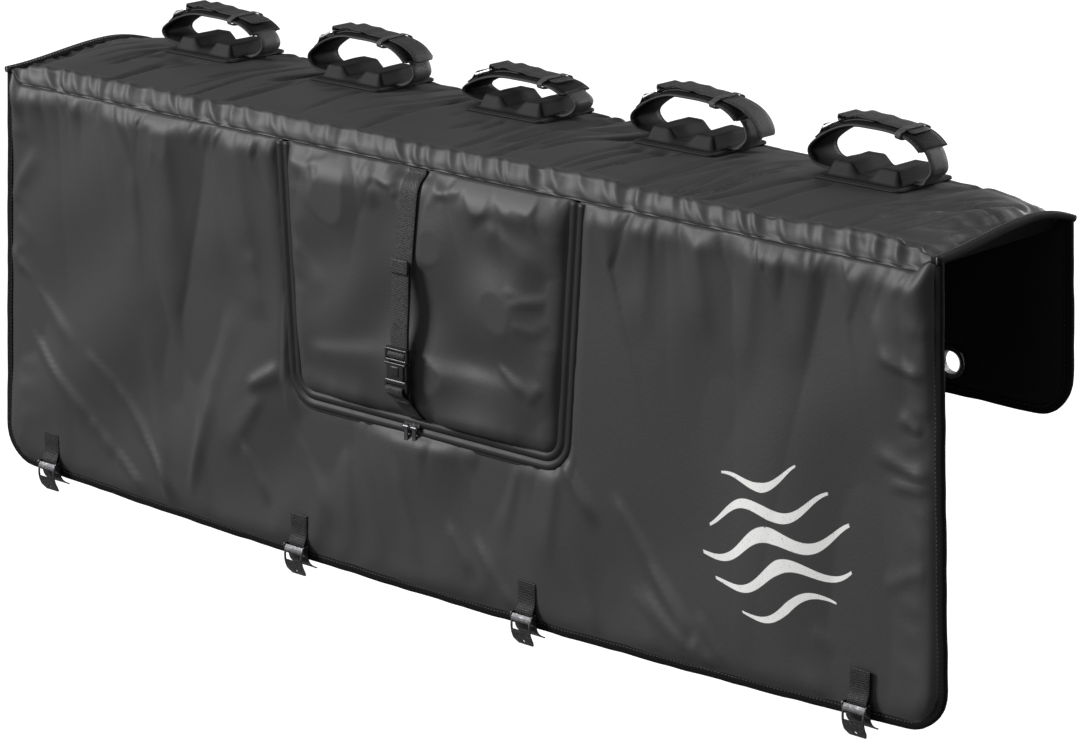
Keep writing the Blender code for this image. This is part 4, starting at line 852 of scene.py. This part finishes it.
def hung_edge(half_top, half_foot, drop, corner, sag, y, start):
    """The sides and foot of a hanging panel's cut as a path from its left top to its right top."""
    angle = np.linspace(0, math.pi / 2, 9)
    corner_x = -half_foot + corner * (1 - np.cos(angle))
    corner_z = -drop + corner * (1 - np.sin(angle))
    left = [(-half_foot, -start), *zip(corner_x, corner_z)]
    foot = [(x, -drop) for x in np.linspace(-half_foot + corner, half_foot - corner, 40)[1:-1]]
    edge = np.array(left + foot + [(-x, z) for x, z in left[::-1]])
    x = edge[:, 0] * (half_top - (half_foot - half_top) * edge[:, 1] / drop) / half_foot
    z = edge[:, 1] - sag * eased(-2 * edge[:, 1] / drop - 1) * (1 - (x / half_foot) ** 2)
    return np.stack([x, np.full_like(x, y), z], 1)


front_middle, rear_middle = FRONT_FACE + FRONT_THICK / 2, REAR_FACE - REAR_THICK / 2
front_edge = hung_edge(SEAM_HALF, HEM_HALF, FRONT_DROP, FRONT_CORNER, HEM_SAG, front_middle, -CORNER_RISE)
rear_edge = hung_edge(SEAM_HALF, SEAM_HALF + flare, REAR_DROP, FRONT_CORNER, 0, rear_middle, -CORNER_RISE)
taped("front_tape", front_edge, "front_binding")
taped("rear_tape", rear_edge, "rear_binding")
depth = np.linspace(-TOP_HALF_DEPTH, TOP_HALF_DEPTH, 40)
upper, lower = top_heights(np.full_like(depth, SEAM_HALF), depth)
for side, name in ((-1, "left"), (1, "right")):
    line = np.stack([np.full_like(depth, side * (SEAM_HALF - TAPE_WIDTH / 2)), depth, upper - 0.0022], 1)
    section = [(side_off, off + TAPE_WIDTH / 2) for off, side_off in FOLDED_TAPE]
    piece = swept(f"top_tape_{name}", line, (side, 0, 0), section, end_tape_cloth)
    fitted(piece, f"top_binding_{name}")


# Zip
# A coated reverse-coil zip round three sides of the window: two soft lips that meet over the coil.
# Its tapes are sewn on the edges of the panel and of the flap.

ZIP_FACE, ZIP_START = -0.1144, 0.002
# One side of the zip's section, from its outer edge to the coil: across the zip, then off its tape
ZIP_LIP = [
    (-0.0125, 0.0000), (-0.0122, 0.0010), (-0.0106, 0.0012), (-0.0098, 0.0008), (-0.0088, 0.0026),
    (-0.0066, 0.0035), (-0.0040, 0.0034), (-0.0018, 0.0026), (-0.0004, 0.0008),
]

zip_cloth, shade, shader = finish("zip_cloth", Specular_IOR_Level=0.35)
across, along = shade.cloth()
place = shade.place()
stitch = across.band(0.0022, 0.0028, 0.0002) * along.wave(0.0030)
feed(
    shader,
    Base_Color=shade.noise(place, 0.01).mixed(grey(0.007), grey(0.013)),
    Roughness=0.52 + shade.noise(place, 0.02) * 0.10,
    Normal=shade.bump(shade.noise(place, 0.0012) * 0.3 + along.wave(0.0016) * 0.15 + stitch, 0.0002),
)

route = hung_edge(WINDOW_TOP, WINDOW_FOOT, WINDOW_DROP, WINDOW_CORNER, 0, ZIP_FACE + 0.0006, ZIP_START)
both_lips = ZIP_LIP + [(-across, off) for across, off in ZIP_LIP[::-1]]
fitted(swept("zip_lips", evened(route, 0.004), (0, -1, 0), both_lips, zip_cloth), "zip")


# Flap strap and the socket's webbing
# 25 mm webbing: sewn into the top seam, led behind the plug's ladder, round its bar and up again as a
# free tail with a folded end. A short loop of the same webbing holds the socket at the flap's foot.

WEBBING_WIDTH, WEBBING_THICK, LOOP_THICK = 0.025, 0.0016, 0.0013


def webbing_section(width, thick, edge=0.0006):
    """A flat strip's section with rounded edges: off the strip's plane, then across it."""
    half, deep = width / 2, thick / 2
    side = [(-deep * 0.5, half), (deep * 0.5, half)]
    top = [(deep, half - edge), (deep, half * 0.5), (deep, 0), (deep, -half * 0.5), (deep, -half + edge)]
    return side + top + [(-off, -across) for off, across in side + top]


def webbing_finish(name, dark, light):
    """Woven nylon webbing: a slanted weave with brighter yarns in it."""
    material, shade, shader = finish(name, Specular_IOR_Level=0.25)
    across, along = shade.cloth()
    weave = (across + along * 0.6).wave(0.0024) * (along - across * 0.4).wave(0.0019)
    yarns = shade.noise(shade.place(), 0.0013, 1)
    feed(
        shader,
        Base_Color=(weave * 0.45 + yarns.band(0.46, 2.0, 0.10) * 0.55).mixed(grey(dark), grey(light)),
        Roughness=0.46 + weave * 0.25,
        Normal=shade.bump(weave * 0.6 + yarns * 0.6, 0.0006),
    )
    return material


webbing = webbing_finish("webbing_cloth", 0.006, 0.060)
tab_webbing = webbing_finish("tab_webbing_cloth", 0.004, 0.026)


def strap(name, line, x, thick, node, cloth=webbing):
    """25 mm webbing that follows a side view's line, y and z, in the plane at x."""
    line = smooth_line(line, 4)
    path = np.stack([np.full(len(line), x), line[:, 0], line[:, 1]], 1)
    piece = swept(name, path, (1, 0, 0), webbing_section(WEBBING_WIDTH, thick), cloth)
    fitted(piece, node)
    return piece


flap_strap = strap("flap_webbing", STRAP_LINE, STRAP_X, WEBBING_THICK, "flap_strap")
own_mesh(flap_strap)
strap("socket_loop", SOCKET_LINE, STRAP_X, LOOP_THICK, "socket_webbing")


# Side-release buckle
# Moulded black plastic: the plug's two prongs snap into the socket's side windows.
# Its faces have the fine spark grain of the mould.

BUCKLE_Y, SOCKET_TOP = -0.1490, -0.2098

plastic, shade, shader = finish("moulded_plastic", Specular_IOR_Level=0.5)
place = shade.place()
grain = shade.noise(place, 0.0005, 3)
feed(
    shader,
    Base_Color=shade.noise(place, 0.01).mixed(grey(0.008), grey(0.014)),
    Roughness=0.24 + grain * 0.14,
    Normal=shade.bump(grain, 0.00008),
)


def moulded(name, blocks, node, body):
    """A moulding of rounded blocks. Each is given by its middle off the socket's mouth, size, edge radius
    and lean about X."""
    mouth = Vector((STRAP_X, BUCKLE_Y, SOCKET_TOP))
    mesh = bpy.data.meshes.new(name)
    shape = bmesh.new()
    for middle, size, radius, lean_back in blocks:
        block = bmesh.new()
        bmesh.ops.create_cube(block, size=1.0)
        bmesh.ops.scale(block, vec=size, verts=block.verts)
        bmesh.ops.bevel(block, geom=block.edges[:], offset=radius, segments=3, affect="EDGES", profile=0.6)
        stand = Matrix.Translation(mouth + Vector(middle)) @ Matrix.Rotation(lean_back, 4, "X")
        bmesh.ops.transform(block, matrix=stand, verts=block.verts)
        solid = bpy.data.meshes.new("block")
        block.to_mesh(solid)
        block.free()
        shape.from_mesh(solid)
        bpy.data.meshes.remove(solid)
    shape.to_mesh(mesh)
    shape.free()
    mesh.polygons.foreach_set("use_smooth", np.ones(len(mesh.polygons), bool))
    mesh.materials.append(plastic)
    piece = bpy.data.objects.new(name, mesh)
    scene.collection.objects.link(piece)
    fitted(piece, node, body=body)


moulded("plug", [
    ((0, -0.0002, 0.0144), (0.0330, 0.0062, 0.0032), 0.0013, 0.25),
    ((0, 0.0006, 0.0078), (0.0290, 0.0040, 0.0030), 0.0011, 0),
    *[((side * 0.0148, 0, 0.0080), (0.0036, 0.0058, 0.0156), 0.0014, 0) for side in (-1, 1)],
    ((0, 0, 0.0018), (0.0316, 0.0061, 0.0034), 0.0014, 0),
    ((0, 0, -0.0090), (0.0060, 0.0040, 0.0170), 0.0012, 0),
    *[((side * 0.0128, 0, -0.0100), (0.0050, 0.0044, 0.0190), 0.0018, 0) for side in (-1, 1)],
], "buckle_plug", "buckle_plug")
moulded("socket", [
    *[((0, side * 0.0029, -0.0098), (0.0240, 0.0026, 0.0190), 0.0012, 0) for side in (-1, 1)],
    *[((0, side * 0.0036, -0.0016), (0.0318, 0.0024, 0.0030), 0.0011, 0) for side in (-1, 1)],
    ((0, 0, -0.0222), (0.0322, 0.0084, 0.0062), 0.0024, 0),
    *[((side * 0.0146, 0, -0.0268), (0.0040, 0.0066, 0.0110), 0.0016, 0) for side in (-1, 1)],
    ((0, 0, -0.0307), (0.0322, 0.0058, 0.0032), 0.0013, 0),
    ((0, -0.0044, -0.0098), (0.0110, 0.0016, 0.0110), 0.0007, 0),
], "buckle_socket", "pad")


# Sliders, pulls and cam buckles
# Zinc and steel castings with a dark plated finish, brighter where hands and straps rub them.

def refinished(names, material):
    """CAD nodes that stay in view with a new material."""
    for name in names:
        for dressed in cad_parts[name].material_slots:
            dressed.material = material


dark_metal, shade, shader = finish("dark_plate", Metallic=1.0)
place = shade.place()
rub = shade.noise(place, 0.004, 4).band(0.60, 2.0, 0.10)
brushed = shade.noise(shade.node("ShaderNodeMapping", None, {0: place, 3: (0.25, 1.0, 1.0)}), 0.0008, 3)
feed(
    shader,
    Base_Color=rub.mixed(grey(0.10, 1.05), grey(0.22, 1.03)),
    Roughness=0.36 + brushed * 0.14 - rub * 0.08,
    Normal=shade.bump(brushed, 0.00004),
)
numbers = ("1", "2", "3", "4")
refinished([f"cam_frame_{n}" for n in numbers] + [f"cam_lever_{n}" for n in numbers], dark_metal)
refinished([f"zip_{part}_{side}" for part in ("slider", "pull") for side in ("left", "right")], dark_metal)


# Hem tabs
# Webbing sewn flat on the panel over its hem. The pin of the cam buckle hangs in the fold at its foot.

HEM_TAB_X = [-0.612, -0.195, 0.150, 0.597]
PIN_OUT, PIN_ABOVE_HEM, TAB_THICK = 0.0085, 0.014, 0.0012
# The tab in side view, off the pin: from its sewn end down to the fold
TAB_LINE = [
    (0.0073, 0.0380), (0.0068, 0.0290), (0.0070, 0.0209), (0.0060, 0.0125), (0.0026, 0.0045),
    (0.0026, -0.0012), (0.0005, -0.0026), (-0.0004, -0.0026),
]

for number, x in zip(numbers, HEM_TAB_X):
    pin_z = -FRONT_DROP - HEM_SAG * (1 - (x / HEM_HALF) ** 2) + PIN_ABOVE_HEM
    pin_y = FRONT_FACE - PIN_OUT
    line = [(pin_y + y, pin_z + z) for y, z in TAB_LINE]
    strap(f"hem_webbing_{number}", line, x, TAB_THICK, f"hem_tab_{number}", tab_webbing)


# Eyelets
# Nickel-plated brass: the grommet's rim on the outer face is rolled over a washer on the lining side.

nickel, shade, shader = finish("bright_plate", Metallic=1.0)
place = shade.place()
haze = shade.noise(place, 0.004, 3)
feed(
    shader,
    Base_Color=haze.mixed(grey(0.40, 1.02), grey(0.56, 1.02)),
    Roughness=0.20 + haze * 0.12,
    Normal=shade.bump(shade.noise(place, 0.0015), 0.00003),
)
sides = ("left", "right")
refinished([f"eyelet_{side}" for side in sides] + [f"eyelet_washer_{side}" for side in sides], nickel)


# Cradle saddles
# Foam under a matte black cover on a thin base plate: two humps with a valley for the down tube, and a
# flat flange that is sewn to the top panel all round.

CRADLE_TOP = 0.0404
BASE_THICK, BASE_CORNER = 0.0030, 0.008
SADDLE_HALF, SADDLE_HALF_DEPTH, SADDLE_RISE = 0.045, 0.034, 0.0150
VALLEY_HALF, VALLEY_FLOOR_HALF, VALLEY_DEPTH = 0.021, 0.006, 0.0105
SADDLE_GRID, STITCH_IN, STITCH_WIDTH, STITCH_DEPTH = 0.0016, 0.0040, 0.0008, 0.0007
THREAD_NEAR, THREAD_FAR = 0.0038, 0.0050

cradle_cover, shade, shader = finish("cradle_cover_cloth", Specular_IOR_Level=0.18)
place = shade.place()
x, y, _ = shade.axes(place)
nearest = x.math("PINGPONG", x + CRADLE_PITCH / 2 + 4 * CRADLE_PITCH, CRADLE_PITCH / 2)
out_x = CRADLE_PITCH / 2 - nearest
out_y = shade.math("ABSOLUTE", y - CRADLE_Y)
rim_x = out_x.band(BASE_LENGTH / 2 - THREAD_FAR, BASE_LENGTH / 2 - THREAD_NEAR, 0.0002)
rim_y = out_y.band(BASE_DEPTH / 2 - THREAD_FAR, BASE_DEPTH / 2 - THREAD_NEAR, 0.0002)
inside = out_x.band(-1.0, BASE_LENGTH / 2 - THREAD_NEAR, 0.0002)
inside = inside * out_y.band(-1.0, BASE_DEPTH / 2 - THREAD_NEAR, 0.0002)
thread = shade.math("MAXIMUM", rim_x * y.wave(0.0048), rim_y * x.wave(0.0048)) * inside
weave = shade.noise(place, 0.0013, 2)
cloud = shade.noise(place, 0.006)
feed(
    shader,
    Base_Color=(weave * 0.02 + cloud * 0.03 + thread * 0.8).mixed(grey(0.006), grey(0.20)),
    Roughness=0.56 + weave * 0.2,
    Normal=shade.bump(weave * 0.3 + thread, 0.0004),
)


def saddle_height(x, y):
    """Height of the cover over the flange's top face."""
    off = np.abs(x)
    valley = eased((off - VALLEY_FLOOR_HALF) / (VALLEY_HALF - VALLEY_FLOOR_HALF))
    hump = SADDLE_RISE - VALLEY_DEPTH * (1 - valley)
    fall = eased((SADDLE_HALF + 0.003 - off) / 0.009)
    side = eased((SADDLE_HALF_DEPTH + 0.003 - np.abs(y)) / 0.009)
    return hump * fall * side


columns, rows = (2 * round(half / 2 / SADDLE_GRID) + 1 for half in (BASE_LENGTH, BASE_DEPTH))
x, y = np.meshgrid(
    np.linspace(-BASE_LENGTH / 2, BASE_LENGTH / 2, columns),
    np.linspace(-BASE_DEPTH / 2, BASE_DEPTH / 2, rows),
)
x, y, edge = rounded(x, y, BASE_LENGTH / 2, BASE_DEPTH / 2, BASE_CORNER)
height = saddle_height(x, y)
seam = STITCH_DEPTH * ridge(edge - STITCH_IN, STITCH_WIDTH)
flange = CRADLE_TOP - 0.0010 * (1 - swell(edge, 0.003)) - seam
for number, centre in enumerate(CRADLE_X, 1):
    crease = billows(x, y, 60 + number, 0.045, 0.0004)
    top = flange + height + crease * np.clip(height / 0.01, 0.2, 1)
    outer = np.stack([x + centre, y[::-1] + CRADLE_Y, top[::-1]], -1)
    inner = np.stack([x + centre, y[::-1] + CRADLE_Y, np.full_like(x, CRADLE_TOP - BASE_THICK)], -1)
    kept = np.ones((x.shape[0] - 1, x.shape[1] - 1), bool)
    saddle = quilted(f"cradle_saddle_{number}", outer, inner, kept, cradle_cover, cradle_cover)
    fitted(saddle, f"cradle_pad_{number}")


# Cradle straps
# A foam sleeve with piped edges arches over each saddle from its left foot and ends, part way down its
# right side, in plain webbing. A hook-and-loop strap is sewn on its top, runs through the ring, folds
# back over itself and ends in a free tail. Folded webbing on the left shoulder holds the ring.

SLEEVE_WIDTH, SLEEVE_THICK = 0.050, 0.0060
FOOT_WIDTH, FOOT_THICK, FOOT_LENGTH, FOOT_LAP = 0.030, 0.0024, 0.052, 0.004
HOOK_WIDTH, HOOK_THICK = 0.030, 0.0018
RING_WIRE, RING_PITCH, RING_SWING, RING_STATION = 0.0018, 0.0240, 5.0, 0.042
RING_TAB_WIDTH, RING_TAB_THICK, TAB_RUN = 0.028, 0.0012, 0.016
SEWN, RUNNING = 0.0003, 0.0004
# Height, left and right reach, then the tail's length and curl
STRAPS = [
    (0.0455, 0.080, 0.078, 0.022, 0.5),
    (0.0515, 0.078, 0.078, 0.046, 1.1),
    (0.0385, 0.079, 0.078, 0.010, 0.3),
    (0.0525, 0.076, 0.074, 0.062, 1.1),
    (0.0560, 0.078, 0.070, 0.006, 0.3),
]

sleeve_cloth, shade, shader = finish("sleeve_cloth", Specular_IOR_Level=0.12)
across, along = shade.cloth()
place = shade.place()
knit = across.wave(0.0019) * along.wave(0.0024)
face = across.math("MODULO", across, 0.0526)
bead = 1 - face.band(0.0043, 0.0509, 0.0003)
stitch = (face.band(0.0053, 0.0065, 0.0002) + face.band(0.0487, 0.0499, 0.0002)) * along.wave(0.0048)
colour = (knit * 0.5 + shade.noise(place, 0.003) * 0.5).mixed(grey(0.004), grey(0.014))
feed(
    shader,
    # The piped beads are painted lighter, a painted highlight along the sleeve's edges; the same mask also
    # makes them glossier.
    Base_Color=shade.math("MAXIMUM", bead * 0.25, stitch).mixed(colour, grey(0.12)),
    Roughness=0.60 + knit * 0.2 - bead * 0.15,
    Normal=shade.bump(knit * 0.6 + stitch * 0.4, 0.0005),
)

KEEPER_STATION, KEEPER_WIDTH, KEEPER_THICK = 0.036, 0.007, 0.0009
# The elastic keeper's way round the sleeve and the hook strap: out from the sleeve's middle, then across it
KEEPER_LOOP = [
    (-0.0038, -0.0040), (-0.0038, 0.0040), (-0.0038, 0.0170), (-0.0028, 0.0245), (0.0, 0.0260),
    (0.0030, 0.0242), (0.0056, 0.0165), (0.0060, 0.0130), (0.0060, 0.0), (0.0060, -0.0130),
    (0.0056, -0.0165), (0.0030, -0.0242), (0.0, -0.0260), (-0.0034, -0.0245), (-0.0048, -0.0170),
    (-0.0048, -0.0040), (-0.0048, 0.0040),
]

# Satin webbing for the sleeves' feet and the keepers. Its light base colour is painted sheen, standing in for
# the satin's shine.
painted_sheen_webbing = webbing_finish("painted_sheen_webbing", 0.030, 0.095)


def arch(height, left, right):
    """The sleeve's centre line in side view, from its right foot over the top to its left foot."""
    foot = (BASE_LENGTH / 2 + SADDLE_HALF) / 2 - FOOT_THICK
    low = SLEEVE_THICK / 2 + SEWN
    web = FOOT_THICK / 2 + SEWN
    top = height - SLEEVE_THICK / 2
    return smooth_line([
        (foot, web), (foot + 0.012, web + 0.0002), (right - 0.006, web + 0.0055), (right, 0.0170),
        (right * 0.90, top * 0.66), (right * 0.66, top * 0.90), (right * 0.34, top * 0.985), (0.0, top),
        (-left * 0.34, top * 0.975), (-left * 0.66, top * 0.80), (-left * 0.93, top * 0.52),
        (-left, top * 0.33), (-left + 0.007, low + 0.0035), (-foot - 0.010, low + 0.0003), (-foot, low),
    ], 8)


def beside(line, distance, offset):
    """The point at a distance along the line, moved out from the arch by offset."""
    run = distances(line)
    back, here, ahead = (
        np.array([np.interp(distance + step, run, line[:, axis]) for axis in (0, 1)])
        for step in (-0.003, 0, 0.003)
    )
    way = (ahead - back) / np.linalg.norm(ahead - back)
    return here + np.array([way[1], -way[0]]) * offset


def sleeve_section(width, thick):
    """A crowned foam sleeve with a piped bead along each edge."""
    half, deep = width / 2, thick / 2
    side = [(-0.0010, half - 0.0008), (0.0, half), (0.0010, half - 0.0008)]
    groove = [(0.0016, half - 0.0024), (0.0008, half - 0.0038)]
    rise = groove + [(deep * 0.82, half - 0.0062), (deep, half * 0.55)]
    top = rise + [(deep * 1.04, 0)] + [(off, -across) for off, across in rise[::-1]]
    return side + top + [(-off, -across) for off, across in side + top]


def rounded_ends(line, reach=0.004):
    """How wide a strip is along its line: its corners are cut round over the last few millimetres."""
    run = distances(line)
    off = np.minimum(run, run[-1] - run)
    return 0.80 + 0.20 * np.sqrt(1 - (1 - np.clip(off / reach, 0, 1)) ** 2)


def in_cradle(points, centre):
    """Side-view points as a path in the place of the cradle at this centre."""
    points = np.asarray(points)
    return np.stack([points[:, 0] + centre, np.full(len(points), CRADLE_Y), points[:, 1] + CRADLE_TOP], 1)


def round_bar(bar, turn, along, out):
    """Points of a fold of this radius round a ring's bar, from its sleeve side over to its outer side."""
    angles = [math.pi * step / 6 for step in range(7)]
    return [bar - out * (turn * math.cos(angle)) + along * (turn * math.sin(angle)) for angle in angles]


SLEEVE_SECTION = sleeve_section(SLEEVE_WIDTH, SLEEVE_THICK)

for number, (centre, (height, left, right, tail, curl)) in enumerate(zip(CRADLE_X, STRAPS), 1):
    line = arch(height, left, right)
    run = distances(line)
    top = run[np.argmin(np.abs(line[:, 0]) + 10 * (line[:, 1] < height / 2))]

    # The ring lies on the hook strap, with its lower bar one pitch below its upper bar
    lift = SLEEVE_THICK / 2 + SEWN + HOOK_THICK + SEWN + RING_WIRE
    upper_bar = beside(line, top + RING_STATION, lift)
    reach = top + RING_STATION
    while np.linalg.norm(beside(line, reach, lift) - upper_bar) < RING_PITCH:
        reach += 0.0002
    lower_bar = beside(line, reach, lift)
    up_strap = (upper_bar - lower_bar) / np.linalg.norm(upper_bar - lower_bar)
    off_strap = np.array([-up_strap[1], up_strap[0]])

    path = in_cradle(evened(line[run > FOOT_LENGTH], 0.003), centre)
    sleeve = swept(f"strap_sleeve_{number}", path, (0, 1, 0), SLEEVE_SECTION, sleeve_cloth)
    fitted(sleeve, f"padded_strap_{number}")
    path = in_cradle(line[run < FOOT_LENGTH + FOOT_LAP], centre)
    section = webbing_section(FOOT_WIDTH, FOOT_THICK)
    web = swept(f"strap_foot_{number}", path, (0, 1, 0), section, painted_sheen_webbing)
    fitted(web, None)

    # The hook strap goes up from the sleeve, round the ring's upper bar, back over itself and into its tail
    first = SLEEVE_THICK / 2 + SEWN + HOOK_THICK / 2
    second = first + HOOK_THICK + SEWN
    turn = RING_WIRE + SEWN + HOOK_THICK / 2
    slack = RING_PITCH * math.sin(math.radians(RING_SWING)) + SEWN
    bar = top + RING_STATION
    hook = [beside(line, bar - back, first) for back in (0.040, 0.032, 0.023, 0.014, 0.006)]
    fold = round_bar(upper_bar, turn, -up_strap, off_strap)
    hook += fold[:4] + [spot + off_strap * slack for spot in fold[3:]]
    for back, off in ((0.008, 0.003 + turn + slack), (0.018, second + 0.0024), (0.028, second + 0.0002)):
        hook.append(beside(line, bar - back, max(off, second)))
    hook += [beside(line, top + step, second) for step in (0.006, -0.001)]
    hook += [beside(line, top + step, first + 0.0001) for step in (-0.010, -0.018, -0.026, -0.034, -0.042)]
    way = (hook[-1] - hook[-2]) / np.linalg.norm(hook[-1] - hook[-2])
    for step in range(8):
        bend = -math.radians(curl * 1000 * tail * 2 * (step + 0.5) / 64)
        cosine, sine = math.cos(bend), math.sin(bend)
        way = np.array([way[0] * cosine - way[1] * sine, way[0] * sine + way[1] * cosine])
        hook.append(hook[-1] + way * tail / 8)
    path = in_cradle(smooth_line(hook, 5), centre)
    section = webbing_section(HOOK_WIDTH, HOOK_THICK)
    hook_strap = swept(f"hook_webbing_{number}", path, (0, 1, 0), section, webbing, rounded_ends(path))
    fitted(hook_strap, f"hook_strap_{number}")

    # The ring tab is folded round the lower bar, and both of its legs are sewn on the sleeve
    first = SLEEVE_THICK / 2 + SEWN + RING_TAB_THICK / 2
    turn = RING_WIRE + RUNNING + RING_TAB_THICK / 2
    second = first + RING_TAB_THICK + SEWN
    tab = [beside(line, reach + TAB_RUN * share, first) for share in (1.0, 0.5, 0.25)]
    tab += round_bar(lower_bar, turn, up_strap, off_strap)
    for ahead, off in ((0.005, second + 0.0022), (TAB_RUN * 0.6, second), (TAB_RUN, second)):
        tab.append(beside(line, reach + ahead, off))
    path = in_cradle(smooth_line(tab, 3), centre)
    section = webbing_section(RING_TAB_WIDTH, RING_TAB_THICK)
    ring_tab = swept(f"ring_webbing_{number}", path, (0, 1, 0), section, webbing)
    fitted(ring_tab, f"ring_tab_{number}")

    # The keeper is a flat elastic loop round the sleeve and the hook strap
    station = top - KEEPER_STATION
    way = (beside(line, station + 0.003, 0) - beside(line, station - 0.003, 0)) / 0.006
    loop = in_cradle([beside(line, station, off) for off, _ in KEEPER_LOOP], centre)
    loop[:, 1] += [across for _, across in KEEPER_LOOP]
    path = smooth_line(loop, 4)
    section = webbing_section(KEEPER_WIDTH, KEEPER_THICK)
    keeper = swept(f"strap_keeper_{number}", path, (way[0], 0, way[1]), section, painted_sheen_webbing)
    fitted(keeper, None)

refinished([f"ring_{number}" for number in range(1, 6)], nickel)
